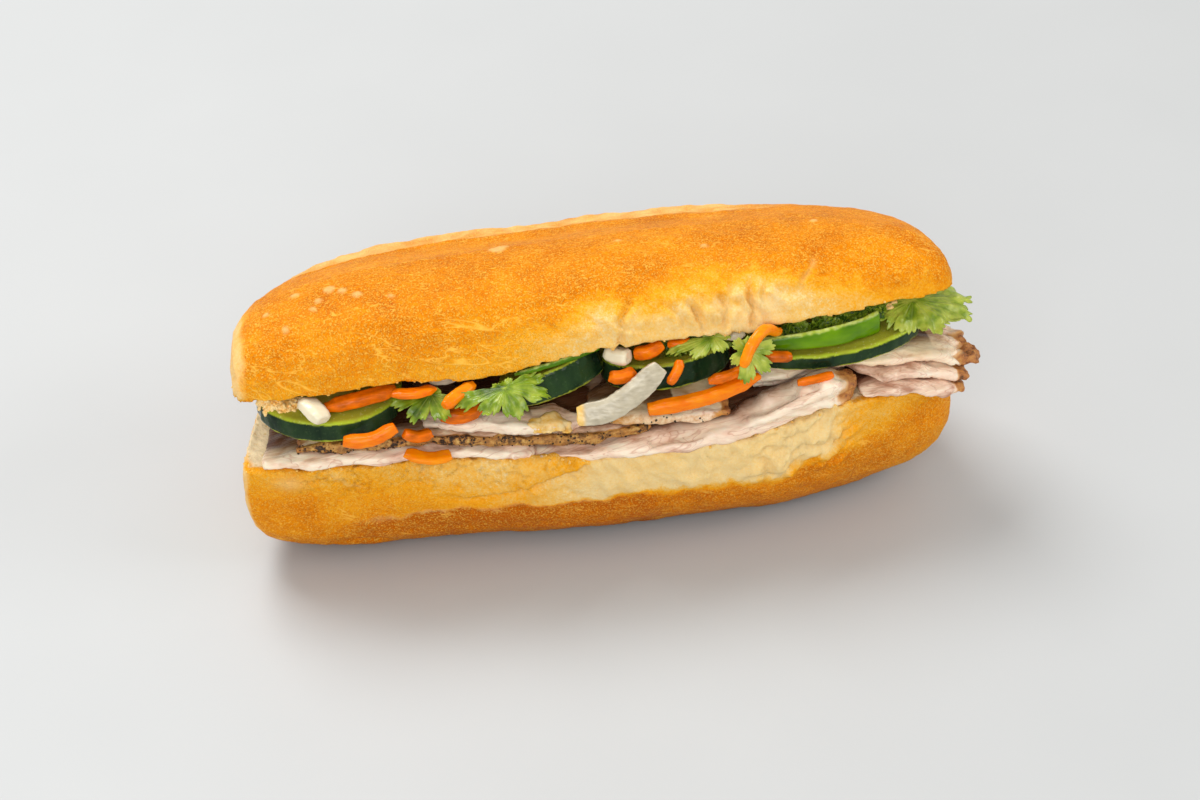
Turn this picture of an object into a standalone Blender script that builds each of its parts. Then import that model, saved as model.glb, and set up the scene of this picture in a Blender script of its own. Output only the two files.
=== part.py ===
"""Banh mi: a crusty roll cut along its front, opened on the uncut strip at its back and filled
with sliced roast pork, cucumber, pickled carrot and daikon, green chilli and coriander.

Every solid is one piece of food. Lengths below are in millimetres and go through MM.
X runs along the roll, Y from its open front to its uncut back, and Z up from its flat base.
"""

import math
from dataclasses import dataclass

import bmesh
import bpy
from mathutils import Euler, Vector, noise

MM = 0.001

# The roll
CUT_HEIGHT = 40.0          # height of the cut above the base, at the middle of the roll
CUT_RISE = 0.028           # the cut climbs towards +X
CROWN_DEPTH = 23.0         # from the cut up to the crown
OPENING = math.radians(20.5)
CROWN_TILT = math.radians(3.0)   # the crown rises towards +X
HINGE_Y = 37.0
BOTTOM_HOLLOW = 3.0        # how far the filling presses into the bottom crumb
CROWN_HOLLOW = 8.0
OVERHANG = 98.5            # past here the meat hangs free of the bread and sags

# What lies on what keeps this much air
GAP = 0.4
BED_GAP = 0.5

# The middle of the whole sandwich's box, measured in the frame that the pieces are placed in
BOX_MIDDLE = (5.1, -3.35)

COLOURS = {
    "crust": (0.80, 0.36, 0.07, 0.62),
    "pork": (0.72, 0.55, 0.45, 0.45),
    "cucumber": (0.05, 0.12, 0.04, 0.35),
    "chilli": (0.12, 0.36, 0.03, 0.25),
    "carrot": (0.86, 0.22, 0.02, 0.35),
    "daikon": (0.78, 0.72, 0.58, 0.35),
    "coriander": (0.18, 0.36, 0.05, 0.5),
}


def clear_scene():
    """Empties the scene of its start-up objects."""
    for thing in list(bpy.data.objects):
        bpy.data.objects.remove(thing)


def food_material(kind):
    """The Principled material of one kind of food."""
    red, green, blue, roughness = COLOURS[kind]
    material = bpy.data.materials.get(kind) or bpy.data.materials.new(kind)
    material.use_nodes = True
    shader = material.node_tree.nodes["Principled BSDF"]
    shader.inputs["Base Color"].default_value = (red, green, blue, 1.0)
    shader.inputs["Roughness"].default_value = roughness
    shader.inputs["Metallic"].default_value = 0.0
    return material


def add_piece(name, points, faces, kind, parent, location=(0, 0, 0), turn=(0, 0, 0)):
    """Makes one object from points in millimetres, placed by its location and rotation."""
    mesh = bpy.data.meshes.new(name)
    mesh.from_pydata([Vector(p) * MM for p in points], [], faces)
    shape = bmesh.new()
    shape.from_mesh(mesh)
    bmesh.ops.recalc_face_normals(shape, faces=shape.faces)
    shape.to_mesh(mesh)
    shape.free()
    mesh.shade_smooth()
    mesh.set_sharp_from_angle(angle=math.radians(40))
    mesh.materials.append(food_material(kind))
    piece = bpy.data.objects.new(name, mesh)
    bpy.context.scene.collection.objects.link(piece)
    piece.parent = parent
    piece.location = Vector(location) * MM
    piece.rotation_euler = Euler([math.radians(angle) for angle in turn])
    return piece


def skin_over(rings):
    """Joins rings of equal length into one closed surface, with a flat cap on each end."""
    count = len(rings[0])
    points = [p for ring in rings for p in ring]
    faces = []
    for row in range(len(rings) - 1):
        for i in range(count):
            j = (i + 1) % count
            a, b = row * count, (row + 1) * count
            faces.append((a + i, a + j, b + j, b + i))
    faces.append(tuple(range(count))[::-1])
    last = (len(rings) - 1) * count
    faces.append(tuple(range(last, last + count)))
    return points, faces


def smoothstep(low, high, value):
    """0 below low, 1 above high, with a smooth rise between them."""
    share = min(1.0, max(0.0, (value - low) / (high - low)))
    return share * share * (3 - 2 * share)


def blend_through(stops, x):
    """A smooth value at x through (x, value) stops given in order."""
    if x <= stops[0][0]:
        return stops[0][1]
    for (x0, low), (x1, high) in zip(stops, stops[1:]):
        if x <= x1:
            return low + (high - low) * smoothstep(x0, x1, x)
    return stops[-1][1]


# ---------------------------------------------------------------- the roll

def end_fade(share, blunt):
    """How much of its size the roll keeps at a share of the way from its middle to its end."""
    return max(0.0, 1 - abs(share) ** blunt) ** (1 / blunt)


@dataclass(frozen=True)
class Outline:
    """The outline of half a roll, seen from above.

    front is its front edge as (x, y) stops and back the y of its straight back edge. Both run in
    to the pole, the y of each end's tip; pairs are for the -X and the +X end, and a higher blunt
    number is a squarer end. end_slant is how far the -X end leans towards +X for each millimetre
    towards the back.
    """
    middle: float
    half_length: float
    front: tuple
    back: float
    pole: tuple
    front_blunt: tuple
    back_blunt: tuple
    depth_blunt: tuple
    end_slant: float

    def share(self, x):
        """How far x is from the middle to the end, -1 to 1."""
        return max(-1.0, min(1.0, (x - self.middle) / self.half_length))

    def edges(self, x):
        """The front and back edge at x."""
        share = self.share(x)
        end = 0 if share < 0 else 1
        pole = self.pole[end]
        near = pole + (blend_through(self.front, x) - pole) * end_fade(share, self.front_blunt[end])
        far = pole + (self.back - pole) * end_fade(share, self.back_blunt[end])
        return near, far

    def depth_fade(self, x):
        """How much of the crust's depth is left at x."""
        share = self.share(x)
        return end_fade(share, self.depth_blunt[0 if share < 0 else 1])

    def slant(self, x):
        """How far the section at x leans towards +X for each millimetre towards the back."""
        return self.end_slant * smoothstep(-55.0, -96.0, x)

    def stations(self, count):
        """X of each section, closer together where the ends turn in."""
        last = math.radians(87)
        angles = [-last + 2 * last * i / (count - 1) for i in range(count)]
        return [self.middle + self.half_length * math.sin(a) for a in angles]


BOTTOM = Outline(2.2, 98.8, ((-95, -31.2), (-55, -34.8), (10, -40.4), (45, -40.4), (100, -34.0)),
                 38.0, (-24.0, -13.0), (7.0, 5.5), (3.0, 3.0), (6.0, 5.0), 0.2)
CROWN = Outline(1.9, 97.7, ((-95, -71.5), (0, -73.5), (95, -72.0)),
                0.0, (-52.0, -54.0), (8.0, 8.0), (2.8, 2.8), (4.4, 3.4), 0.07)

# How far the lips hang below a straight cut, as (x, millimetres) stops: the bottom's lip is
# pressed down under the middle of the filling, and the crown's sags between the fillings
LIP_DIP = ((-52, 0.0), (-8, 4.3), (36, 4.6), (56, 0.4), (70, -0.6), (82, 1.2), (99, 6.0))
CROWN_DROOP = ((-96, 0.8), (-72, 1.7), (-56, 1.0), (-30, 3.8), (-12, 1.8), (4, 0.6), (22, 0.6),
               (38, 2.0), (50, 0.9), (62, 2.0), (86, 0.2))


def crust_ring(outline, x, depth, hollow, power):
    """One D-shaped section of half a roll, as (x, y, distance from the cut).

    It runs over the crust from the front cut edge to the back one, and returns along the cut face.
    """
    near, far = outline.edges(x)
    middle, wide = (near + far) / 2, (far - near) / 2
    fade = outline.depth_fade(x)
    slant = outline.slant(x)
    crust_steps, crumb_steps = 15, 8
    ring = []
    for step in range(crust_steps + 1):
        angle = math.pi * step / crust_steps
        across = math.copysign(abs(math.cos(angle)) ** (2 / power), math.cos(angle))
        away = math.sin(angle) ** (2 / power) if 0 < step < crust_steps else 0.0
        y = middle - wide * across
        ring.append(Vector((x + slant * (y - near), y, depth * fade * away)))
    for step in range(1, crumb_steps):
        share_across = step / crumb_steps
        pressed = hollow * math.sin(math.pi * share_across) * fade
        y = middle + wide * (1 - 2 * share_across)
        ring.append(Vector((x + slant * (y - near), y, pressed)))
    return ring


def cut_height(x):
    """Height of the cut above the base at x."""
    return CUT_HEIGHT + CUT_RISE * x


def lip_dip(x, y):
    """How far the front lip of the bottom half is pressed down at (x, y)."""
    behind = y - blend_through(BOTTOM.front, x)
    return blend_through(LIP_DIP, x) * (1 - smoothstep(2.0, 32.0, behind))


def crust_swell(point, seed):
    """A small unevenness of the crust, in millimetres."""
    return 0.9 * noise.noise(point * 0.035 + Vector((seed, 0, 0)))


def bottom_half(parent):
    """The lower half: a flat base, steep sides and a cut face pressed hollow by the filling."""
    rings = []
    for x in BOTTOM.stations(27):
        ring = []
        for p in crust_ring(BOTTOM, x, cut_height(x) + 1.0, BOTTOM_HOLLOW, 3.4):
            crust = smoothstep(BOTTOM_HOLLOW + 1, BOTTOM_HOLLOW + 9, p.z)
            outwards = -1 if p.y < 0 else 1
            height = cut_height(p.x) - p.z
            height -= lip_dip(p.x, p.y) * smoothstep(8, CUT_HEIGHT, height)
            ring.append(Vector((p.x, p.y + outwards * crust_swell(p, 3.0) * crust, max(0.0, height))))
        rings.append(ring)
    points, faces = skin_over(rings)
    return add_piece("bread", points, faces, "crust", parent)


def crown_droop(x, y):
    """How far the crown's front lip hangs down over the filling, fading behind the lip."""
    lip = CROWN.edges(x)[0]
    return blend_through(CROWN_DROOP, x) * (1 - smoothstep(0.0, 22.0, y - lip))


def crown_depth_at(x):
    """The crown is a little thicker at its -X end and thinner at its +X end."""
    return CROWN_DEPTH * (1 + 0.04 * smoothstep(0, -60, x) - 0.09 * smoothstep(0, 60, x))


def score_groove(x, y):
    """Depth of the baker's score, a long groove just behind the crown's ridge."""
    along = smoothstep(-92, -60, x) * (1 - smoothstep(30, 60, x))
    return 1.6 * along * math.exp(-(((y + 31.0 + 0.05 * x) / 4.5) ** 2))


def top_half(parent):
    """The crown, modelled shut and then swung open on the back edge of its cut."""
    rings = []
    for x in CROWN.stations(27):
        depth = crown_depth_at(x)
        ring = []
        for p in crust_ring(CROWN, x, depth, CROWN_HOLLOW, 2.5):
            crust = smoothstep(CROWN_HOLLOW + 1, CROWN_HOLLOW + 8, p.z)
            rise = (crust_swell(p, 11.0) - score_groove(x, p.y)) * crust
            rise -= crown_droop(x, p.y) * (1 - smoothstep(5.0, 17.0, p.z))
            ring.append(Vector((p.x, p.y, p.z + rise)))
        rings.append(ring)
    points, faces = skin_over(rings)
    crown = add_piece("crown_half", points, faces, "crust", parent, (0, HINGE_Y, CUT_HEIGHT + 0.5))
    crown.rotation_euler = (-OPENING, -CROWN_TILT, 0)
    return crown


def hinge_strip(parent):
    """The uncut strip that still joins the halves along the back."""
    reach, half_deep, half_tall, around = 88.0, 6.0, 11.0, 12
    rings = []
    for x in [reach * math.sin(math.radians(a)) for a in range(-84, 85, 12)]:
        size = end_fade(x / reach, 5)
        lean = x + BOTTOM.slant(x) * 40
        back = min(BOTTOM.edges(x)[1], HINGE_Y + CROWN.edges(x)[1]) + 0.3
        rise = x * (CUT_RISE + math.sin(CROWN_TILT)) / 2
        ring = []
        for step in range(around):
            angle = 2 * math.pi * step / around
            y = back - half_deep + half_deep * size * math.cos(angle)
            z = CUT_HEIGHT + rise + half_tall * size * math.sin(angle)
            ring.append(Vector((lean, y, z)))
        rings.append(ring)
    points, faces = skin_over(rings)
    return add_piece("hinge_strip", points, faces, "crust", parent)


def bread(parent):
    """The roll is one solid: both halves and the strip between them."""
    roll = bottom_half(parent)
    for helper in (hinge_strip(parent), top_half(parent)):
        helper.hide_render = True
        helper.display_type = "WIRE"
        join = roll.modifiers.new("with_" + helper.name, "BOOLEAN")
        join.operation = "UNION"
        join.solver = "EXACT"
        join.object = helper


def bed_height(x, y):
    """Height of the bottom half's cut face under the filling."""
    near, far = BOTTOM.edges(x)
    across = min(1.0, max(0.0, (far - y) / max(1.0, far - near)))
    hollow = BOTTOM_HOLLOW * math.sin(math.pi * across) * BOTTOM.depth_fade(x)
    sag = 0.12 * max(0.0, x - OVERHANG) ** 1.5
    return cut_height(x) - hollow - lip_dip(x, y) - sag


# ---------------------------------------------------------------- roast pork

FIRST_LAYER = 3.5
FOLD_FRONT = ((-16, 3.3), (20, 3.7), (34, 4.3), (44, 7.6), (58, 9.8), (70, 9.4))


CORNER = 2.0               # how far a slice's corners are rounded off


def above_pork_one(x, y):
    """Top of the pork that lies on the bread."""
    return bed_height(x, y) + BED_GAP + FIRST_LAYER


def above_pork_two(x, y):
    """Top of the second layer. It drops where that layer has ended."""
    thick = blend_through(((-10, 3.0), (12, 2.8), (17, 0.4), (34, 0.8), (41, 3.1)), x)
    return above_pork_one(x, y) + GAP + thick


def pork_slice(parent, name, span, inset, back, floor, thick, thick_front=None, waves=0.0):
    """A slice of pork that lies on floor(x, y).

    span is its reach along X. inset is how far its front edge is behind the roll's lip and back
    the y of its back edge, both as (x, value) stops. thick is its thickness inside the roll, and
    thick_front, as (x, thickness) stops, that of a slice folded over at its front edge. waves is
    how far the front edge wanders in and out.
    """
    across = (0.0, 0.07, 0.15, 0.2, 0.4, 0.7, 1.0)
    fold = thick_front or ((span[0], thick),)
    count = max(6, round((span[1] - span[0]) / 8.5))
    rings = []
    for i in range(count + 1):
        share = i / count
        x = span[0] + (span[1] - span[0]) * share
        rounded = (1 - abs(2 * share - 1) ** 6) ** 0.5
        wander = waves * math.sin(x * 0.23 + span[0]) + 0.5 * waves * math.sin(x * 0.61)
        lip = blend_through(BOTTOM.front, x)
        near = lip + blend_through(inset, x) + CORNER * (1 - rounded) + wander
        far = blend_through(back, x) - 6.0 * (1 - rounded)
        slant = BOTTOM.slant(x)
        under, over = [], []
        for t in across:
            y = near + (far - near) * t
            at = x + slant * (y - near)
            edge = 0.35 if t in (0.0, 1.0) else 1.0
            deep = thick + (blend_through(fold, x) - thick) * (1 - smoothstep(0.15, 0.2, t))
            deep = max(1.0, deep * (0.55 + 0.45 * rounded))
            lift = (1 - edge) * 0.5 * min(deep, 3.0)
            bottom = floor(at, y)
            under.append(Vector((at, y, bottom + 0.3 * lift)))
            over.append(Vector((at, y, bottom + deep - lift)))
        rings.append(under + over[::-1])
    points, faces = skin_over(rings)
    return add_piece(name, points, faces, "pork", parent)


def roast_pork(parent):
    """Eight slices in three layers, each on the one below."""
    def on(surface, gap=GAP):
        return lambda x, y: surface(x, y) + gap

    bed = on(bed_height, BED_GAP)
    middle = on(above_pork_one)
    upper = on(above_pork_two)
    pork_slice(parent, "pork_left", (-91, -16.4), ((-91, -0.4), (-55, -0.5), (-17, -0.1)),
               ((-91, -4), (-80, 8)), bed, 3.4, waves=0.4)
    pork_slice(parent, "pork_folded", (-15.6, 69.5), ((-15, -0.3), (20, -0.7), (60, -0.2), (69, 0.8)),
               ((0, 20),), bed, 3.3, FOLD_FRONT, waves=0.4)
    pork_slice(parent, "pork_right_low", (70.6, 101), ((74, -0.4), (101, 0.0)),
               ((80, 9), (101, -6)), bed, 3.3, waves=0.3)
    pork_slice(parent, "pork_crusted", (-82, 13), ((-82, 0.8), (-50, 0.4), (-10, 1.2), (13, 3.0)),
               ((0, 10),), middle, 2.7, waves=0.5)
    pork_slice(parent, "pork_right_middle", (43, 103), ((43, 12.8), (68, 12.0), (74, 1.8), (103, 1.6)),
               ((82, 9), (103, -10)), middle, 2.9, waves=0.3)
    pork_slice(parent, "pork_pale", (-48, -5), ((-48, 2.8), (-25, 2.0), (-5, 3.6)),
               ((-44, 8), (-34, -25)), upper, 3.4, waves=0.4)
    pork_slice(parent, "pork_edge", (-3, 34.5), ((-3, 4.5), (34, 4.2)), ((0, -17),),
               upper, 2.8, waves=0.5)
    pork_slice(parent, "pork_long", (38, 107), ((38, 11.5), (66, 9.5), (76, 4.5), (107, 5.0)),
               ((80, 8), (107, -15)), upper, 3.0, waves=0.3)


# ---------------------------------------------------------------- vegetables

def rounded_slice(parent, name, kind, radii, thick, location, turn):
    """A thick slice cut across a cucumber: an ellipse with slightly eased edges."""
    around, ease = 26, 0.5
    rings = []
    for height, inset in ((-0.5, ease), (-0.42, 0.0), (0.42, 0.0), (0.5, ease)):
        ring = []
        for step in range(around):
            angle = 2 * math.pi * step / around
            wobble = 1 + 0.012 * math.sin(3 * angle + location[0])
            x = (radii[0] - inset) * wobble * math.cos(angle)
            y = (radii[1] - inset) * wobble * math.sin(angle)
            ring.append(Vector((x, y, height * thick)))
        rings.append(ring)
    points, faces = skin_over(rings)
    return add_piece(name, points, faces, kind, parent, location, turn)


def stick(parent, name, kind, path, wide, tall, roll=0.0):
    """A julienne stick with cut, square edges along a smooth curve through path."""
    knots = [Vector(p) for p in path]
    middle = sum(knots, Vector()) / len(knots)
    pieces = 3 * (len(knots) - 1)
    spots = [smooth_point(knots, i / pieces) - middle for i in range(pieces + 1)]
    ease = 0.22
    corners = [(-0.5 + ease, -0.5), (0.5 - ease, -0.5), (0.5, -0.5 + ease), (0.5, 0.5 - ease),
               (0.5 - ease, 0.5), (-0.5 + ease, 0.5), (-0.5, 0.5 - ease), (-0.5, -0.5 + ease)]
    rings = []
    for i, spot in enumerate(spots):
        ahead = spots[min(i + 1, pieces)] - spots[max(i - 1, 0)]
        ahead.normalize()
        side = ahead.cross(Vector((0, 0, 1))).normalized()
        over = side.cross(ahead).normalized()
        cos, sin = math.cos(math.radians(roll)), math.sin(math.radians(roll))
        across, upward = side * cos + over * sin, over * cos - side * sin
        size = 0.82 if i in (0, pieces) else 1.0
        rings.append([spot + across * (a * wide * size) + upward * (b * tall * size)
                      for a, b in corners])
    points, faces = skin_over(rings)
    return add_piece(name, points, faces, kind, parent, middle)


def smooth_point(knots, share):
    """A point on the Catmull-Rom curve through the knots."""
    spans = len(knots) - 1
    place = min(share * spans, spans - 1e-6)
    i = int(place)
    t = place - i
    before = knots[i - 1] if i else knots[0] * 2 - knots[1]
    after = knots[i + 2] if i + 2 <= spans else knots[-1] * 2 - knots[-2]
    a, b = knots[i], knots[i + 1]
    return 0.5 * (2 * a + (b - before) * t + (2 * before - 5 * a + 4 * b - after) * t ** 2
                  + (3 * a - before - 3 * b + after) * t ** 3)


def chilli_wall(parent, name, length, tall_ends, bow, wall, location, turn):
    """A lengthwise slice of a green chilli: a bowed wall of flesh, higher at one end."""
    stations, around = 9, 8
    rings = []
    for i in range(stations):
        share = i / (stations - 1)
        x = length * (share - 0.5)
        y = bow * (2 * share - 1) ** 2
        tall = tall_ends[0] + (tall_ends[1] - tall_ends[0]) * share
        tall *= 0.55 + 0.45 * min(1.0, 5 * share + 0.2)
        ring = []
        for step in range(around):
            angle = 2 * math.pi * step / around
            bulge = -1.1 * math.cos(angle * 0.5 - math.pi / 2) * math.sin(angle)
            ring.append(Vector((x, y + 0.5 * wall * math.cos(angle) + 0.3 * bulge,
                                0.5 * tall * math.sin(angle))))
        rings.append(ring)
    points, faces = skin_over(rings)
    return add_piece(name, points, faces, "chilli", parent, location, turn)


def cucumbers(parent):
    """Four cucumber slices in a row: each has its name, radii, thickness, place and turn."""
    rows = (
        ("cucumber_left", (19.5, 16.5), 6.2, (-71, -17.5, 50.7), (1, 1.5, 4)),
        ("cucumber_inner_left", (14, 9.5), 7.8, (-12.4, -23.8, 54.0), (-20, -19, 0)),
        ("cucumber_inner_right", (17.6, 13), 7.4, (19.1, -21.0, 53.2), (-12, -6, -4)),
        ("cucumber_right", (25, 13.5), 4.6, (65.5, -21.0, 55.2), (0, -3.5, 2)),
    )
    for name, radii, thick, location, turn in rows:
        rounded_slice(parent, name, "cucumber", radii, thick, location, turn)


def chillies(parent):
    """Two lengthwise slices of green chilli on the cucumber."""
    chilli_wall(parent, "chilli_right", 36, (4.2, 7.4), 4.2, 2.8, (58.6, -32.6, 61.9), (-10, -2, 2))
    chilli_wall(parent, "chilli_left", 24, (2.0, 2.1), 1.5, 1.8, (-11.8, -30.4, 62.6), (-20, -11, 4))


def carrots(parent):
    """Pickled carrot sticks: each row is a name, its width and height, its roll and its route."""
    rows = (
        ("carrot_01", 4.2, 3.6, 0, ((-73.5, -29.0, 55.6), (-64, -28.6, 56.8), (-54.3, -27.6, 58.0))),
        ("carrot_02", 4.0, 2.2, 10, ((-56, -31.5, 59.6), (-50, -32.5, 59.6), (-44.5, -30.5, 59.0))),
        ("carrot_03", 3.4, 3.6, 0, ((-70, -36.4, 49.6), (-63, -37.4, 49.8), (-56, -36.8, 52.6))),
        ("carrot_04", 3.6, 3.0, 20, ((-54, -36.8, 50.2), (-50.5, -37.2, 48.8), (-46.5, -36.8, 49.2))),
        ("carrot_05", 4.4, 2.2, 0, ((-54, -36.8, 43.6), (-48, -38.8, 42.4), (-42, -38.2, 42.2))),
        ("carrot_06", 3.4, 3.4, 30, ((-34.4, -31.0, 58.9), (-38.7, -34.0, 58.8), (-43.1, -37.4, 58.0))),
        ("carrot_07", 3.8, 4.0, 0, ((-43.5, -32.4, 51.4), (-38, -33.4, 51.0), (-32.5, -31.6, 51.8))),
        ("carrot_08", 3.4, 3.6, 10, ((9.0, -29.5, 62.0), (12.5, -30.6, 62.6), (16.4, -29.6, 64.0))),
        ("carrot_09", 3.8, 3.2, 0, ((1.2, -34.4, 58.9), (4.6, -35.0, 58.9), (8.2, -34.2, 59.5))),
        ("carrot_10", 3.0, 2.8, 0, ((18.4, -28.2, 62.8), (21, -29.0, 63.0), (24.2, -28.2, 63.2))),
        ("carrot_11", 2.6, 2.4, 40, ((20.2, -35.0, 62.3), (19.2, -36.4, 60.0), (16.8, -38.2, 57.2))),
        ("carrot_12", 3.8, 4.0, 0, ((11, -38.2, 49.4), (27, -38.4, 51.2), (42, -35.6, 54.4))),
        ("carrot_13", 2.8, 2.8, 0, ((27.5, -36.9, 55.4), (34, -36.7, 56.7), (41.2, -34.9, 57.9))),
        ("carrot_14", 2.9, 2.7, 15, ((48, -31.2, 64.6), (42.5, -36.6, 70), (38, -40.2, 67.8), (35.6, -42, 62.8))),
        ("carrot_15", 2.2, 2.2, 0, ((52, -36.9, 51.4), (57, -37.1, 52.0), (62, -36.3, 52.2))),
        ("carrot_16", 3.2, 2.6, 0, ((43.6, -34.4, 59.7), (47, -35.2, 59.6), (50.5, -35.8, 59.5))),
    )
    for name, wide, tall, roll, path in rows:
        stick(parent, name, "carrot", path, wide, tall, roll)


def daikons(parent):
    """Pickled daikon sticks, wider and paler than the carrot."""
    rows = (
        ("daikon_01", 6.2, 3.6, 20, ((-78.3, -27.4, 56.9), (-77, -31, 57.6), (-74.5, -35, 56.2))),
        ("daikon_02", 6.4, 2.8, 60, ((14.4, -37.6, 62.8), (8.2, -39.6, 57.8), (0, -41, 53.2), (-8.5, -40, 51.6))),
        ("daikon_03", 5.6, 4.2, 20, ((1.8, -27.6, 62.4), (4.8, -30.2, 62.2), (7.1, -31.8, 62.6))),
        ("daikon_04", 4.0, 2.6, 0, ((33, -26, 63.2), (36, -28, 63.4), (39, -28, 64.2))),
        ("daikon_05", 3.4, 2.6, 0, ((-45.5, -26.5, 59.4), (-42, -27.4, 59.2), (-38.5, -26.5, 59.4))),
    )
    for name, wide, tall, roll, path in rows:
        stick(parent, name, "daikon", path, wide, tall, roll)


def coriander_leaf(parent, name, reach, droop, location, turn, lobes=5):
    """A lobed leaf with a toothed rim.

    reach is its size across and along, from its middle. Its stalk is at +Y, and it droops towards
    the lobes at -Y.
    """
    around, thick = 40, 0.7
    rings = []
    for side in (-0.5, 0.5):
        for inner in (0.42, 1.0):
            ring = []
            for step in range(around):
                angle = 2 * math.pi * step / around
                lobe = abs(math.cos(0.5 * lobes * angle))
                tooth = 1 - 0.10 * (step % 2)
                out = (0.56 + 0.44 * lobe ** 0.8) * tooth * inner
                x, y = out * math.sin(angle), -out * math.cos(angle)
                bend = -droop * (max(0.0, -y) ** 2 + 0.4 * x * x) - 0.5 * math.sin(3 * angle) * inner
                ring.append(Vector((x * reach[0], y * reach[1], bend + side * thick)))
            rings.append(ring)
    points = [p for ring in rings for p in ring]
    low_hub, high_hub = len(points), len(points) + 1
    points += [Vector((0, 0, -0.5 * thick)), Vector((0, 0, 0.5 * thick))]
    faces = []
    for i in range(around):
        j = (i + 1) % around
        faces.append((low_hub, j, i))
        faces.append((i, j, around + j, around + i))
        faces.append((high_hub, 2 * around + i, 2 * around + j))
        faces.append((2 * around + j, 2 * around + i, 3 * around + i, 3 * around + j))
        faces.append((around + i, around + j, 3 * around + j, 3 * around + i))
    return add_piece(name, points, faces, "coriander", parent, location, turn)


def coriander(parent):
    """Leaves that hang out over the filling's front edge."""
    coriander_leaf(parent, "leaf_left", (9.0, 6.5), 1.5, (-48.5, -33.8, 56.2), (12, 0, -6))
    coriander_leaf(parent, "leaf_inner_left", (13, 8.0), 2.2, (-26, -38.6, 59.4), (20, -6, 6))
    coriander_leaf(parent, "leaf_tucked", (9.0, 6.5), 1.0, (25.4, -32.2, 64.8), (14, -4, 0))
    coriander_leaf(parent, "leaf_inner_right", (9.8, 7.0), 1.0, (39.8, -38.4, 61.6), (58, 0, 10))
    coriander_leaf(parent, "leaf_right", (14.0, 11.0), 2.5, (91, -22, 60.6), (6, 5, 14))


def main():
    """Builds the sandwich under one empty at the middle of its base."""
    clear_scene()
    sandwich = bpy.data.objects.new("sandwich", None)
    bpy.context.scene.collection.objects.link(sandwich)
    sandwich.location = (-BOX_MIDDLE[0] * MM, -BOX_MIDDLE[1] * MM, 0)
    bread(sandwich)
    roast_pork(sandwich)
    cucumbers(sandwich)
    chillies(sandwich)
    carrots(sandwich)
    daikons(sandwich)
    coriander(sandwich)


main()
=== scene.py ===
"""Looks of a banh mi: a crusty roll open at its front, filled with roast pork, cucumber, pickled
carrot and daikon, green chilli and coriander.

Shapes are worked in millimetres in the frame that the filling was laid out in: X along the roll,
Y from its open front to its uncut back, Z up from its base. place() takes them to metres.
"""

from __future__ import annotations

import logging
import math
import sys
from dataclasses import dataclass
from enum import Enum
from typing import Callable, Sequence

import bmesh
import bpy
import numpy as np
from mathutils import Euler, Matrix, Vector
from mathutils.bvhtree import BVHTree

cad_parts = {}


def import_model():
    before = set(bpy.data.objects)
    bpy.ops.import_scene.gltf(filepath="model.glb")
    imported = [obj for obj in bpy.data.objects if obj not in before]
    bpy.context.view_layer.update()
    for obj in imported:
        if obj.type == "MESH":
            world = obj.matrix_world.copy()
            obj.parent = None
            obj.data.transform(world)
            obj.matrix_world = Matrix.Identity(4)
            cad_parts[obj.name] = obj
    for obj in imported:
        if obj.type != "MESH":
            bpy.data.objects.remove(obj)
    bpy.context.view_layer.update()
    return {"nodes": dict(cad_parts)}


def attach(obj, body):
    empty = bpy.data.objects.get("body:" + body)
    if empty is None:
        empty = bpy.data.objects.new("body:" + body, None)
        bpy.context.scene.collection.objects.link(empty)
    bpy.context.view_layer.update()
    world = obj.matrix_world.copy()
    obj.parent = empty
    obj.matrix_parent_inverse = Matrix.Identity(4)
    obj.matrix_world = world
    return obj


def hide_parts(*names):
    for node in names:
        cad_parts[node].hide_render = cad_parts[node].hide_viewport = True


LOG = logging.getLogger("banh_mi")
Array = np.ndarray
Colour = tuple[float, float, float, float]
Stops = tuple[tuple[float, float], ...]      # (x, value) pairs, or the corners of a flat path
Faces = list[tuple[int, ...]]
Object = bpy.types.Object
Nodes = dict[str, Object]
Material = bpy.types.Material
Socket = bpy.types.NodeSocket

MM = 0.001
MIDDLE = np.array([5.1, -3.35, 0.0])      # the layout frame's place of the sandwich's middle
HINGE_Y = 37.0
HINGE_Z = 40.5
OPENING = math.radians(20.5)
CROWN_TILT = math.radians(3.0)
CROWN_TURN = np.array(Euler((-OPENING, -CROWN_TILT, 0)).to_matrix())
ROLL_LEFT = -97.5                         # just past the roll's left end, along X


# ---------------------------------------------------------------- numbers over many points

def place(points: Array) -> Array:
    """Layout millimetres to the sandwich's own metres."""
    return (np.asarray(points, float) - MIDDLE) * MM


def laid_out(points: Array) -> Array:
    """The sandwich's own metres to layout millimetres."""
    return np.asarray(points, float) / MM + MIDDLE


def in_crown(points: Array) -> Array:
    """Points in the crown's own frame: its cut flat at height 0, its hinge along y = 0."""
    return (points - np.array([0.0, HINGE_Y, HINGE_Z])) @ CROWN_TURN


def smoothstep(low: float, high: float, value: Array) -> Array:
    """0 below low, 1 above high, with a smooth rise between them; low may be the larger."""
    share = np.clip((np.asarray(value, float) - low) / (high - low), 0, 1)
    return share * share * (3 - 2 * share)


def within(value: Array, start: float, full: float, fading: float, end: float) -> Array:
    """1 from full to fading, with a smooth rise from start and a smooth fall to end."""
    return smoothstep(start, full, value) * (1 - smoothstep(fading, end, value))


def bell(value: Array, width: float) -> Array:
    """1 where value is 0, falling smoothly to nearly nothing at twice the width."""
    return np.exp(-(np.asarray(value, float) / width) ** 2)


def through(stops: Stops, x: Array) -> Array:
    """The value at x on straight lines through (x, value) stops."""
    return np.interp(x, [s[0] for s in stops], [s[1] for s in stops])


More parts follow.
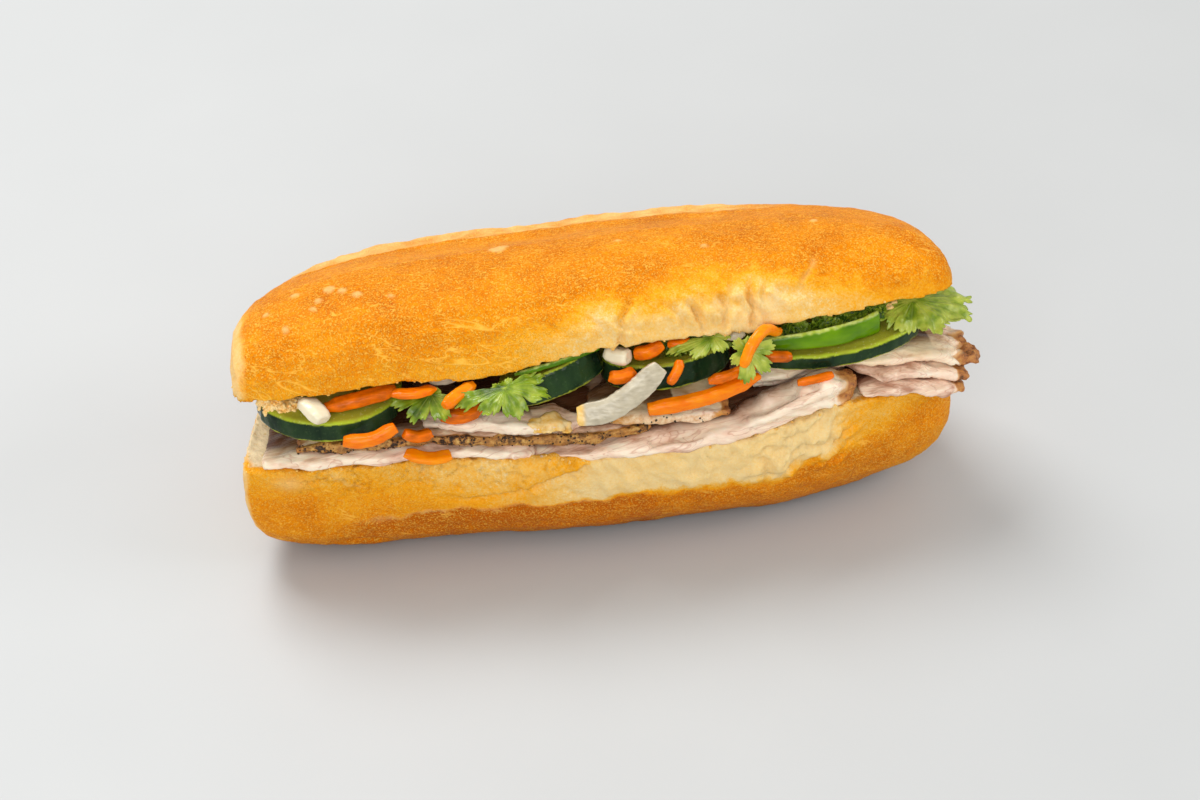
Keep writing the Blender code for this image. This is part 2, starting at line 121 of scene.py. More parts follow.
def away_from(path: Stops, flat: Array) -> Array:
    """How far flat points lie from a path.

    Args:
        path: the path's corners, as (x, height).
        flat: the points, two numbers each.

    Returns:
        One distance for each point.
    """
    best = np.full(len(flat), 1e9)
    for a, b in zip(path, path[1:]):
        start, along = np.array(a, float), np.subtract(b, a).astype(float)
        share = np.clip(((flat - start) @ along) / max(along @ along, 1e-9), 0, 1)
        best = np.minimum(best, np.linalg.norm(flat - start - share[:, None] * along, axis=1))
    return best


def front_edge(points: Array, step: float = 1.5) -> Callable[[Array], Array]:
    """The foremost y of these points, found in steps along x, as a function of x."""
    bins = np.arange(points[:, 0].min(), points[:, 0].max() + step, step)
    index = np.digitize(points[:, 0], bins)
    near = np.array([points[index == i, 1].min() if np.any(index == i) else np.nan
                     for i in range(1, len(bins) + 1)])
    known = ~np.isnan(near)
    return lambda x: np.interp(x, (bins + 0.5 * step)[known], near[known])


def name_seed(name: str) -> int:
    """A seed that goes with a name."""
    return sum(map(ord, name))


class Grain:
    """Smooth noise that is the same every time, from about -1 to 1."""

    offset = 31.7     # keeps the lattice's own zeros away from the middle of the sandwich
    gain = 1.7        # stretches the noise to about -1 to 1

    def __init__(self, seed: int) -> None:
        """Shuffles the lattice for this seed."""
        dice = np.random.default_rng(seed)
        self.table = np.tile(dice.permutation(256), 2)
        slopes = dice.normal(size=(256, 3))
        self.slopes = slopes / np.linalg.norm(slopes, axis=1)[:, None]

    def at(self, points: Array, size: float | Sequence[float] = 1.0) -> Array:
        """The noise at points.

        Args:
            points: the points, three numbers each.
            size: the width of one bump, or one width for each axis.

        Returns:
            One number for each point.
        """
        spot = np.asarray(points, float) / np.asarray(size, float) + self.offset
        cell = np.floor(spot).astype(int)
        inner = spot - cell
        ease = inner * inner * inner * (inner * (inner * 6 - 15) + 10)
        total = np.zeros(len(spot))
        for corner in range(8):
            step = np.array([corner & 1, corner >> 1 & 1, corner >> 2 & 1])
            i, j, k = ((cell + step) & 255).T
            slope = self.slopes[self.table[self.table[self.table[i] + j] + k]]
            weight = np.prod(np.where(step, ease, 1 - ease), axis=1)
            total += weight * np.einsum("ij,ij->i", slope, inner - step)
        return total * self.gain

    def rough(self, points: Array, size: float | Sequence[float], layers: int = 3) -> Array:
        """Noise in several layers, each half as wide and half as strong as the one before."""
        size = np.asarray(size, float)
        return sum(self.at(points, size / 2 ** n) / 2 ** n for n in range(layers))


# ---------------------------------------------------------------- meshes under work

def put(name: str, data: bpy.types.ID) -> Object:
    """A new object in the scene."""
    made = bpy.data.objects.new(name, data)
    bpy.context.scene.collection.objects.link(made)
    return made


def made_by(holder: Object) -> bpy.types.Mesh:
    """The mesh that an object's modifiers make. The object itself is used up."""
    graph = bpy.context.evaluated_depsgraph_get()
    mesh = bpy.data.meshes.new_from_object(holder.evaluated_get(graph))
    bpy.data.objects.remove(holder)
    return mesh


def read(items: bpy.types.bpy_prop_collection, name: str, width: int, kind: type = float) -> Array:
    """One value of every item in a mesh's list, as rows of this many numbers."""
    flat = np.empty(len(items) * width, kind)
    items.foreach_get(name, flat)
    return flat.reshape(-1, width)


def disc_faces(rings: int, side: int) -> Faces:
    """The faces of a closed disc, whose points are a top and then a bottom sheet.

    Args:
        rings: how many rings of points each sheet has around its middle point.
        side: how many points each ring has.

    Returns:
        The top sheet's faces, the bottom's and the rim's.
    """
    count, last = 1 + rings * side, 1 + (rings - 1) * side
    steps = [(i, (i + 1) % side) for i in range(side)]
    top = [(0, 1 + i, 1 + j) for i, j in steps]
    for a in range(1, last, side):
        top += [(a + i, a + side + i, a + side + j, a + j) for i, j in steps]
    bottom = [tuple(count + v for v in reversed(face)) for face in top]
    rim = [(last + j, last + i, count + last + i, count + last + j) for i, j in steps]
    return top + bottom + rim


class Shape:
    """A closed mesh under work, seen as arrays in layout millimetres."""

    levels = 4        # how many steps the weights for thinning are rounded up to

    def __init__(self, mesh: bpy.types.Mesh) -> None:
        """Takes over a mesh that is in the sandwich's own metres."""
        self.mesh = mesh

    @classmethod
    def of_node(cls, node: Object, voxel: float,
                hidden: Callable[[Array, Array], Array] | None = None,
                keep: float = 0.12) -> "Shape":
        """A fine, even skin over a copy of a CAD solid.

        Args:
            node: the solid's object.
            voxel: the width of one facet of the skin.
            hidden: from points and normals, where the skin may be coarse, 0 to 1.
            keep: the share of facets kept there.

        Returns:
            The skin.
        """
        mesh = node.data.copy()
        work = bmesh.new()
        work.from_mesh(mesh)
        bmesh.ops.remove_doubles(work, verts=work.verts, dist=1e-6)
        work.to_mesh(mesh)
        work.free()
        return cls(mesh).skinned(voxel).thinned(hidden, keep)

    @classmethod
    def of_parts(cls, parts: Sequence[tuple[Array, Faces]]) -> "Shape":
        """One shape from several (points, faces) parts, marked "on" all over."""
        faces, count = [], 0
        for points, own_faces in parts:
            faces += [tuple(count + v for v in face) for face in own_faces]
            count += len(points)
        shape = cls.of_faces(np.concatenate([points for points, _ in parts]), faces)
        return shape.mark(on=np.ones(count))

    @classmethod
    def of_faces(cls, points: Array, faces: Faces) -> "Shape":
        """A shape from points in layout millimetres and their faces, turned outwards."""
        mesh = bpy.data.meshes.new("work")
        mesh.from_pydata(place(points).tolist(), [], faces)
        work = bmesh.new()
        work.from_mesh(mesh)
        bmesh.ops.recalc_face_normals(work, faces=work.faces)
        work.to_mesh(mesh)
        work.free()
        return cls(mesh)

    def _through(self, kind: str, **settings: object) -> "Shape":
        """Runs one modifier over the mesh and keeps the result."""
        holder, before = put("holder", self.mesh), self.mesh
        step = holder.modifiers.new("step", kind)
        group = settings.pop("weights", None)
        if group is not None:
            marked = holder.vertex_groups.new(name="coarse")
            for level in range(1, self.levels + 1):
                chosen = np.nonzero(np.ceil(group * self.levels).astype(int) == level)[0]
                marked.add(chosen.tolist(), level / self.levels, "REPLACE")
            settings["vertex_group"] = "coarse"
        for name, value in settings.items():
            setattr(step, name, value)
        self.mesh = made_by(holder)
        bpy.data.meshes.remove(before)
        return self

    def skinned(self, voxel: float) -> "Shape":
        """Joins everything into one even skin of facets this wide."""
        return self._through("REMESH", mode="VOXEL", voxel_size=voxel * MM)

    def thinned(self, hidden: Callable[[Array, Array], Array] | None, keep: float) -> "Shape":
        """Makes the skin coarse where hidden says so, and keeps this share of facets there."""
        if hidden is None:
            return self
        weights = np.clip(hidden(self.points, self.normals), 0, 1)
        share = 1 - weights.mean() * (1 - keep)
        return self._through("DECIMATE", ratio=float(share), weights=weights)

    @property
    def points(self) -> Array:
        """The points."""
        return laid_out(read(self.mesh.vertices, "co", 3))

    @points.setter
    def points(self, points: Array) -> None:
        """Puts the points elsewhere."""
        self.mesh.vertices.foreach_set("co", place(points).ravel())
        self.mesh.update()

    @property
    def normals(self) -> Array:
        """The direction outwards at each point."""
        return read(self.mesh.vertex_normals, "vector", 3)

    def push(self, amount: Array) -> "Shape":
        """Moves each point outwards by its amount."""
        self.points = self.points + self.normals * np.asarray(amount)[:, None]
        return self

    def shift(self, by: Array) -> "Shape":
        """Moves each point by its own step."""
        self.points = self.points + by
        return self

    def averaged(self, values: Array, rounds: int) -> Array:
        """Values over the points, blended with their neighbours' a number of times."""
        a, b = read(self.mesh.edges, "vertices", 2, int).T
        ends, others = np.concatenate((a, b)), np.concatenate((b, a))
        count = np.maximum(np.bincount(ends, minlength=len(values)), 1)
        values = np.array(values, float)
        table = values.reshape(len(values), -1)
        for _ in range(rounds):
            around = [np.bincount(ends, column[others], len(table)) / count for column in table.T]
            table = 0.5 * table + 0.5 * np.array(around).T
        return table.reshape(values.shape)

    def smooth(self, rounds: int, where: Array | float = 1.0) -> "Shape":
        """Eases the points towards their neighbours, a number of times, where 1."""
        points = self.points
        eased = self.averaged(points, rounds)
        self.points = points + (eased - points) * np.reshape(where, (-1, 1))
        return self

    def mark(self, **marks: Array) -> "Shape":
        """Keeps a named number for each point, which a finish can read."""
        for name, values in marks.items():
            layer = self.mesh.attributes.new(name, "FLOAT", "POINT")
            layer.data.foreach_set("value", np.asarray(values, np.float32))
        return self

    def mark_shares(self, **marks: Array) -> "Shape":
        """Keeps named shares for each point, held between 0 and 1."""
        return self.mark(**{name: np.clip(values, 0, 1) for name, values in marks.items()})

    def done(self, name: str, finish: Material, slot: str | None = None,
             instead_of: str | None = None) -> Object:
        """Makes the shape a finished piece.

        Args:
            name: the piece's name.
            finish: its material.
            slot: the record's material slot that it belongs to; not used.
            instead_of: the CAD node that it stands for.

        Returns:
            The piece, riding on the sandwich.
        """
        self.mesh.name = name
        self.mesh.shade_smooth()
        self.mesh.materials.clear()
        self.mesh.materials.append(finish)
        piece = put(name, self.mesh)
        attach(piece, "root")
        if instead_of:
            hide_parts(instead_of)
        self.mesh.calc_loop_triangles()
        LOG.info("%s: %d triangles", name, len(self.mesh.loop_triangles))
        return piece


# ---------------------------------------------------------------- finishes

Feed = object    # a node's output, or a plain number, colour or vector


@dataclass(frozen=True)
class Soft:
    """How light goes into a food: how much of it, how far as red, green and blue, and the
    reach in millimetres that those are shares of."""

    share: float
    colours: tuple[float, float, float]
    reach: float


class Recipe:
    """A material's nodes, added one at a time around one Principled shader."""

    def __init__(self, name: str) -> None:
        """Starts an empty recipe."""
        self.material = bpy.data.materials.new(name)
        self.material.use_nodes = True
        self.tree = self.material.node_tree
        self.shader = self.tree.nodes["Principled BSDF"]
        self.normal: Socket | None = None

    def add(self, kind: str, feeds: dict[int | str, Feed], **settings: object) -> bpy.types.Node:
        """Adds a node.

        Args:
            kind: the node's type.
            feeds: what goes into its sockets.
            settings: its own settings.

        Returns:
            The node.
        """
        node = self.tree.nodes.new(kind)
        for name, value in settings.items():
            setattr(node, name, value)
        return self.feed(node, feeds)

    def feed(self, node: bpy.types.Node, feeds: dict[int | str, Feed]) -> bpy.types.Node:
        """Joins sockets to a node's inputs, or sets plain values there."""
        for key, value in feeds.items():
            if isinstance(value, Socket):
                self.tree.links.new(value, node.inputs[key])
            elif value is not None:
                node.inputs[key].default_value = value
        return node

    def mark(self, name: str) -> Socket:
        """The piece's own number with that name."""
        return self.add("ShaderNodeAttribute", {}, attribute_name=name).outputs["Fac"]

    def spot(self, stretch: Sequence[float] = (1, 1, 1), turn: Sequence[float] = (0, 0, 0)
             ) -> Socket:
        """Where on the piece a point is, turned by degrees and then squeezed along each axis."""
        place_on = self.add("ShaderNodeTexCoord", {}).outputs["Object"]
        angles = tuple(math.radians(a) for a in turn)
        turned = self.add("ShaderNodeMapping", {"Vector": place_on, "Rotation": angles})
        return self.add("ShaderNodeMapping", {"Vector": turned.outputs[0], "Scale": stretch}
                        ).outputs[0]

    def noise(self, width: float, layers: float = 2.0, at: Feed = None, warp: float = 0.0,
              rough: float = 0.5) -> Socket:
        """Cloudy noise from 0 to 1, with bumps this many millimetres wide."""
        feeds = {"Scale": 1 / (width * MM), "Detail": layers, "Distortion": warp,
                 "Roughness": rough, "Vector": at or self.spot()}
        return self.add("ShaderNodeTexNoise", feeds).outputs["Fac"]

    def cells(self, width: float) -> Socket:
        """Distance inside cells this many millimetres wide."""
        feeds = {"Scale": 1 / (width * MM), "Vector": self.spot()}
        return self.add("ShaderNodeTexVoronoi", feeds).outputs["Distance"]

    def ramp(self, value: Feed, *stops: tuple[float, Feed]) -> Socket:
        """A colour or a number that follows value through (value, colour) stops."""
        node = self.add("ShaderNodeValToRGB", {"Fac": value})
        line = node.color_ramp.elements
        while len(line) < len(stops):
            line.new(0.5)
        for spot, (at, colour) in zip(line, stops):
            spot.position = at
            spot.color = colour if isinstance(colour, tuple) else (colour, colour, colour, 1)
        return node.outputs["Color"]

    def mix(self, share: Feed, first: Feed, second: Feed, way: str = "MIX") -> Socket:
        """The first colour, and the second over it by share."""
        return self.add("ShaderNodeMix", {0: share, 6: first, 7: second}, data_type="RGBA",
                        blend_type=way).outputs[2]

    def sum(self, way: str, first: Feed, second: Feed = 0.0, clamp: bool = False) -> Socket:
        """A sum of numbers, such as MAXIMUM."""
        return self.add("ShaderNodeMath", {0: first, 1: second}, operation=way,
                        use_clamp=clamp).outputs[0]

    def plus(self, first: Feed, second: Feed, clamp: bool = False) -> Socket:
        """Two numbers added."""
        return self.sum("ADD", first, second, clamp)

    def times(self, first: Feed, second: Feed, clamp: bool = False) -> Socket:
        """Two numbers multiplied."""
        return self.sum("MULTIPLY", first, second, clamp)

    def most(self, first: Feed, second: Feed) -> Socket:
        """The larger of two numbers."""
        return self.sum("MAXIMUM", first, second)

    def swing(self, value: Feed, gain: float) -> Socket:
        """A number from 0 to 1, moved to lie around 0 and multiplied."""
        return self.times(self.sum("SUBTRACT", value, 0.5), gain)

    def lines(self, value: Feed, width: float, strength: float) -> Socket:
        """Thin lines where noise passes its middle, fading over this share of its range."""
        middle = self.sum("ABSOLUTE", self.sum("SUBTRACT", value, 0.5))
        return self.ramp(middle, (0.0, strength), (width, 0.0))

    def relief(self, height: Feed, depth: float, strength: float = 1.0) -> None:
        """Raises the surface by height times depth in millimetres, on what is there so far."""
        feeds = {"Height": height, "Distance": depth * MM, "Strength": strength,
                 "Normal": self.normal}
        self.normal = self.add("ShaderNodeBump", feeds).outputs["Normal"]

    def tinted(self, colour: Feed, mark: str, deepest: Colour) -> Socket:
        """A colour that is darkened towards the deepest one where a mark is 1."""
        veil = self.ramp(self.mark(mark), (0.0, 1.0), (1.0, deepest))
        return self.mix(1.0, colour, veil, "MULTIPLY")

    def finish(self, colour: Feed, roughness: Feed, soft: Soft | None = None,
               shine: float | None = None) -> Material:
        """Joins everything to the shader.

        Args:
            colour: the surface's colour.
            roughness: its roughness.
            soft: how light goes into it, if it does.
            shine: how strongly it mirrors, from 0 to 1.

        Returns:
            The material.
        """
        feeds = {"Base Color": colour, "Roughness": roughness, "Normal": self.normal,
                 "Specular IOR Level": shine}
        if soft:
            feeds.update({"Subsurface Weight": soft.share, "Subsurface Radius": soft.colours,
                          "Subsurface Scale": soft.reach * MM})
        self.feed(self.shader, feeds)
        return self.material


def rgb(red: float, green: float, blue: float) -> Colour:
    """An opaque colour."""
    return (red, green, blue, 1.0)


@dataclass(frozen=True)
class CrustFinish:
    """Baked crust, from cream where it stayed soft to brown, over open crumb."""

    milk: Colour = rgb(0.85, 0.645, 0.31)
    cream: Colour = rgb(0.85, 0.50, 0.115)
    gold: Colour = rgb(0.88, 0.375, 0.010)
    amber: Colour = rgb(0.77, 0.233, 0.000)
    brown: Colour = rgb(0.50, 0.105, 0.000)
    fleck: Colour = rgb(0.98, 0.57, 0.09)
    scar: Colour = rgb(0.93, 0.63, 0.24)
    crumb: Colour = rgb(0.88, 0.71, 0.45)
    # painted shade: the darker colour at the middle of each crumb hole
    crumb_hole: Colour = rgb(0.74, 0.50, 0.20)
    shade: Colour = rgb(0.24, 0.15, 0.09)

    def make(self) -> Material:
        """The material."""
        r = Recipe("crust")
        bake, crumb, scar = r.mark("bake"), r.mark("crumb"), r.mark("scar")
        clouds = r.swing(r.noise(11, 3), 0.55)
        mottle = r.swing(r.noise(1.2, 2), 0.40)
        grit = r.swing(r.noise(0.55, 2, rough=0.7), 0.55)
        firm = r.ramp(bake, (0.04, 0.18), (0.26, 1.0))
        uneven = r.times(r.plus(clouds, r.plus(mottle, grit)), firm)
        tone = r.plus(bake, uneven, clamp=True)
        colour = r.ramp(tone, (0.03, self.milk), (0.16, self.cream), (0.36, self.gold),
                        (0.62, self.amber), (0.92, self.brown))
        grains = r.noise(0.50, 2, rough=0.6)
        dots = r.ramp(grains, (0.50, 0.0), (0.62, 1.0))
        slanted = r.noise(1.1, 3, r.spot((0.22, 1, 1), (0, -24, 0)), warp=0.6, rough=0.7)
        streaks = r.ramp(slanted, (0.56, 0.0), (0.64, 1.0))
        patchy = r.ramp(r.noise(8, 3), (0.46, 0.05), (0.60, 0.8))
        specks = r.most(r.times(dots, 0.75), r.times(streaks, patchy))
        drawn = r.noise(7.0, 2, r.spot((0.16, 1, 1), (0, -22, 0)), warp=0.5, rough=0.55)
        drawn = r.times(r.lines(drawn, 0.012, 1.0), r.mark("stretch"))
        specks = r.most(specks, r.times(drawn, 0.9))
        specks = r.times(specks, r.mark("fleck"), clamp=True)
        colour = r.mix(r.times(specks, 0.78), colour, self.fleck)
        colour = r.mix(r.times(scar, 0.75), colour, self.scar)
        # Painted shade in the crumb's holes: the crumb darkens towards the pit in each cell.
        holes = r.cells(2.2)
        colour = r.mix(crumb, colour, r.ramp(holes, (0.0, self.crumb_hole), (0.30, self.crumb)))
        r.relief(r.noise(3.2, 3), 0.35, 0.6)
        r.relief(specks, 0.16, 0.8)
        r.relief(grains, 0.22, 0.8)
        r.relief(r.times(holes, crumb), 0.5, 0.7)
        dull = r.plus(r.times(crumb, 0.35), r.times(grains, 0.3))
        colour = r.tinted(colour, "shade", self.shade)
        return r.finish(colour, r.plus(dull, 0.34), Soft(0.04, (1.0, 0.45, 0.2), 1.0), 0.05)


# ---------------------------------------------------------------- the roll

class Half(Enum):
    """Which half of the roll something is on."""

    CROWN = "crown"
    BOTTOM = "bottom"


@dataclass(frozen=True)
class Crease:
    """A line along the front of the roll: a fold that stands up, or a crack where height is below 0.

    path is given as (x, height above the half's own cut or base), width is half its breadth and
    scar how pale it is.
    """

    half: Half
    path: Stops
    width: float
    height: float
    scar: float = 0.0


@dataclass(frozen=True)
class Blister:
    """A small round bubble on the crown's crust, at (x, y) in the crown's own frame."""

    x: float
    y: float
    radius: float
    height: float = 0.35


class RollSkin:
    """The roll's skin, point by point: where each point is, and which part of the roll it is on.

    x, y and z are in the layout frame, and cx, cy and cz in the crown's own. upper says which
    points are the crown's. crumb, crust, front, base, lip and left_end are shares from 0 to 1, and
    behind is how far a point of a cut face lies behind the lip. height is measured from the half's
    own cut or base, and flat holds it after the point's place along the half. rise and scar gather
    what Bread works out: how far each point moves outwards, and how far pale dough shows there.
    """

    swell, fine, lumps = Grain(5), Grain(6), Grain(7)

    def __init__(self, shape: Shape) -> None:
        """Reads a smoothed skin."""
        self.points = p = shape.points
        n = shape.averaged(shape.normals, 3)
        n /= np.maximum(np.linalg.norm(n, axis=1), 1e-6)[:, None]
        self.normals = n
        self.x, self.y, self.z = p.T
        self.cx, self.cy, self.cz = in_crown(p).T
        middle = HINGE_Z + 0.04 * self.x + (HINGE_Y - self.y) * math.tan(0.5 * OPENING)
        self.upper = self.z > middle
        self.crumb, self.behind, self.lip = self.find_cut()
        self.crust = 1 - self.crumb
        self.base = smoothstep(-0.75, -0.95, n[:, 2]) * smoothstep(2.0, 0.5, self.z)
        self.front = np.where(self.upper, smoothstep(-52, -62, self.cy),
                              smoothstep(-18, -26, self.y)) * self.crust
        self.height = np.where(self.upper, self.cz, self.z)
        self.flat = np.column_stack((np.where(self.upper, self.cx, self.x), self.height))
        self.left_end = smoothstep(-0.45, -0.85, n[:, 0] + 0.16 * Grain(8).rough(p, 7, 3))
        self.rise, self.scar = np.zeros(len(p)), np.zeros(len(p))

    def find_cut(self) -> tuple[Array, Array, Array]:
        """Finds the cut faces.

        Returns:
            How far each point is crumb, how far it lies behind the lip, and how near the lip.
        """
        x, y, z, upper = self.x, self.y, self.z, self.upper
        own_n = self.normals @ CROWN_TURN
        cut_low = smoothstep(0.45, 0.75, self.normals[:, 2]) * (z > 27)
        cut_high = smoothstep(-0.45, -0.75, own_n[:, 2]) * (self.cz < 10)
        crumb = np.where(upper, cut_high, cut_low) * (y < 30)
        lip_low = front_edge(self.points[~upper & (z > 33)])
        lip_high = front_edge(np.column_stack((self.cx, self.cy))[upper & (self.cz < 8)])
        behind = np.where(upper, self.cy - lip_high(self.cx), y - lip_low(x))
        behind = np.minimum(behind, 0.8 * (x - ROLL_LEFT) + 0.2)
        lip = bell(behind - 1.0, 2.2) * (crumb > 0.3)
        ragged = 0.5 * Grain(9).rough(self.points, 3.0, 2)
        return crumb * smoothstep(2.2, 3.4, behind + ragged), behind, lip

    def lift(self, amount: Array) -> None:
        """Raises the skin, or lowers it where the amount is less than 0."""
        self.rise = self.rise + amount

    def bare(self, amount: Array) -> None:
        """Shows pale, unbaked dough."""
        self.scar = np.maximum(self.scar, amount)


@dataclass
class Bread:
    """The whole roll: bottom half, crown and the uncut strip at the back.

    Profiles hold (x, value) stops, and bake values go from 0, soft and pale, to 1, brown. Near
    the bottom half's base they also carry painted shade.
    """

    facet: float = 0.72
    keep: float = 0.15
    swell: float = 0.35
    skin: float = 0.14
    crumb_pits: float = 0.8
    score_depth: float = 1.1
    score_width: float = 1.7
    lip_wander: float = 1.0
    flap_height: float = 1.2
    fold_width: float = 0.8
    crown_puffs: float = 2.8
    right_puffs: float = 4.8
    cream_puffs: float = 1.8
    creases: tuple[Crease, ...] = (
        Crease(Half.CROWN, ((10.9, 11.5), (6.8, 6.0), (7.5, 4.5), (6.1, 0.5)), 0.8, -1.7),
        Crease(Half.CROWN, ((25.7, 8.5), (28.0, 5.2), (29.0, 0.5)), 0.8, -2.0),
        Crease(Half.CROWN, ((34.6, 9.0), (35.8, 5.0), (34.5, 1.0)), 0.8, -1.6),
        Crease(Half.CROWN, ((43.4, 11.2), (42.4, 6.7), (43.1, 3.5), (42.0, 0.5)), 0.8, -2.0),
        Crease(Half.CROWN, ((38.9, 13.4), (38.0, 9.4)), 0.8, -1.0),
        Crease(Half.CROWN, ((61.5, 13.0), (56.4, 8.4), (57.0, 5.3), (58.1, 3.0)), 0.5, -0.5, 0.4),
        Crease(Half.BOTTOM, ((-79.5, 33.0), (-76.0, 33.9), (-73.5, 35.6)), 0.5, -0.9),
        Crease(Half.BOTTOM, ((-73, 36), (-71.0, 34.6), (-69.5, 32.2), (-66.4, 31.4)),
               0.5, 0.5, 0.5),
        Crease(Half.BOTTOM, ((-53.6, 31.7), (-49.6, 30.8)), 0.45, -0.7),
        Crease(Half.BOTTOM, ((-49.2, 36.0), (-48.6, 32.5), (-47.6, 30.6)), 0.5, -0.7),
        Crease(Half.BOTTOM, ((-41, 29.6), (-38.6, 27.6)), 0.45, -0.6),
        Crease(Half.BOTTOM, ((42.1, 36.0), (43.1, 33.3), (46.2, 31.0), (49.3, 31.7)), 0.8, -1.1),
        Crease(Half.BOTTOM, ((51.0, 40.0), (52.5, 36.5), (56.1, 37.4), (58.7, 38.7)), 0.7, -0.9),
        Crease(Half.BOTTOM, ((54.2, 35.6), (53.4, 32.6), (50.4, 30.4), (47.6, 27.4)), 0.8, -1.3),
        Crease(Half.BOTTOM, ((57.0, 33.6), (53.4, 28.9), (50.4, 24.4)), 0.7, -1.1),
        Crease(Half.BOTTOM, ((60.2, 34.2), (63.0, 31.4), (64.6, 28.2)), 0.7, -0.6),
    )
    blisters: tuple[Blister, ...] = (
        Blister(-66.4, -53.1, 1.5), Blister(-63.2, -54.9, 1.1), Blister(-59.5, -57.7, 1.3),
        Blister(-75.5, -51.7, 1.2), Blister(-69.8, -57.2, 1.0), Blister(-71.5, -60.0, 0.8),
        Blister(-20.0, -44.1, 2.2, 0.25), Blister(-18.2, -42.6, 1.5, 0.25),
        Blister(-79.5, -64.0, 0.9), Blister(-51.0, -60.5, 0.8), Blister(-84.0, -56.0, 0.9),
        Blister(12.0, -50.0, 0.9), Blister(34.0, -57.0, 0.8), Blister(66.0, -49.0, 1.0),
    )
    flap_edge: Stops = ((-52, 24.5), (-44, 26.4), (-38, 24.4), (-30, 25.4), (-24, 27.2),
                        (-18, 29.2), (-12, 32.0), (-5.0, 34.8))
    crown_soft_top: Stops = ((-96, 5), (-60, 3), (-24, 4.5), (0, 10.0), (20, 10.5), (45, 12),
                             (58, 9), (76, 5), (96, 3))
    crown_soft_bake: Stops = ((-96, 0.46), (-60, 0.50), (-20, 0.31), (5, 0.11), (48, 0.08),
                              (62, 0.22), (96, 0.40))
    brown_top: Stops = ((-96, 12), (-82, 13), (-66, 18.4), (-53, 19.2), (-40, 20.6), (-30, 19.6),
                        (-22, 20.6), (-2, 21.5), (20, 22.0), (47, 20.5), (56, 25), (66, 27),
                        (80, 31.5), (97, 36))
    brown_blur: Stops = ((-96, 4.0), (-66, 1.6), (-50, 0.6), (-2, 0.9), (14, 2.6), (40, 3.2),
                         (97, 4.5))
    brown_bake: Stops = ((-96, 0.66), (-60, 0.83), (-10, 0.90), (60, 0.76), (97, 0.56))
    soft_bake: Stops = ((-96, 0.55), (-80, 0.60), (-62, 0.52), (-40, 0.37), (-20, 0.28),
                        (56, 0.16), (66, 0.28), (76, 0.38), (97, 0.52))
    rim_paler: Stops = ((-96, 0.08), (-80, 0.16), (-30, 0.12), (-10, 0.0), (97, 0.0))
    rear_bake: float = 0.66
    end_bake: float = 0.15

    @staticmethod
    def coarse(points: Array, normals: Array) -> Array:
        """The base, the plain back and the cut faces under the filling may be coarse."""
        base = smoothstep(-0.9, -0.97, normals[:, 2]) * (points[:, 2] < 0.6)
        deep = smoothstep(-24, -16, points[:, 1]) * (np.abs(normals[:, 2]) > 0.6)
        inner = deep * (points[:, 1] < 34) * (points[:, 2] > 25) * (points[:, 2] < 62)
        own = in_crown(points)
        crown_cut = (own[:, 2] < 9) * (own[:, 1] > -60) * (own[:, 1] < -6) * (own[:, 2] > -3)
        crown_cut = crown_cut * (np.abs(points[:, 0]) < 88)
        back = np.where(own[:, 2] > 0, smoothstep(-10, -6, own[:, 1]),
                        smoothstep(6, 12, points[:, 1]))
        return np.max((base, inner, crown_cut, back), axis=0)

    def build(self, node: Object, finish: Material) -> Object:
        """Makes the roll.

        Args:
            node: its CAD solid.
            finish: its crust.

        Returns:
            The finished piece.
        """
        shape = Shape.of_node(node, self.facet, self.coarse, self.keep)
        shape.smooth(3)
        turned = shape.averaged(shape.normals, 2)
        shape.smooth(8, smoothstep(0.90, 0.80, np.linalg.norm(turned, axis=1)))
        skin = RollSkin(shape)
        skin.lift(skin.crust * (self.swell * skin.swell.rough(skin.points, 13, 2)
                                + self.skin * skin.fine.rough(skin.points, 2.6, 2)))
        self.crease(skin)
        self.blister(skin)
        self.score(skin)
        above = self.lap(skin)
        split = self.crack(skin)
        self.puff(skin)
        self.wound(skin)
        self.open_crumb(skin)
        shape.shift(skin.normals * (skin.rise * (1 - skin.base))[:, None])
        settled = shape.points
        settled[:, 2] = np.maximum(settled[:, 2], 0.0)
        shape.points = settled
        self.bake(shape, skin, above, split)
        return shape.done("bread_roll", finish, "bread", "bread")

    def crease(self, skin: RollSkin) -> None:
        """Folds and cracks along the front, open cracks with a raised side."""
        for crease in self.creases:
            on_half = skin.front * (skin.upper == (crease.half is Half.CROWN))
            deep_fold = crease.width == self.fold_width
            wander = 0.4 * skin.lumps.at(skin.points, 2.0)
            away = away_from(crease.path, skin.flat)
            shade = bell(np.abs(away + wander), crease.width) * on_half
            tip = max(spot[1] for spot in crease.path)
            fade_to = tip - 0.4 * max(0.0, tip - 4.0) * deep_fold
            shade *= smoothstep(tip + 1.5, fade_to, skin.height)
            skin.lift(crease.height * shade)
            if crease.height < 0:
                beside = bell(away - 2.4 * crease.width, 1.1 * crease.width)
                side = beside * on_half * smoothstep(tip, tip - 4, skin.height)
                skin.lift(-0.40 * crease.height * side)
            skin.bare(crease.scar * shade)

    def blister(self, skin: RollSkin) -> None:
        """Round bubbles in the crown's crust."""
        on_top = skin.upper * skin.crust * (skin.cz > 6)
        for blister in self.blisters:
            near = np.hypot(skin.cx - blister.x, skin.cy - blister.y)
            near += 0.25 * skin.fine.at(skin.points, 1.2)
            shade = smoothstep(blister.radius + 0.35, blister.radius - 0.45, near) * on_top
            skin.lift(blister.height * shade)
            skin.bare(0.8 * shade)

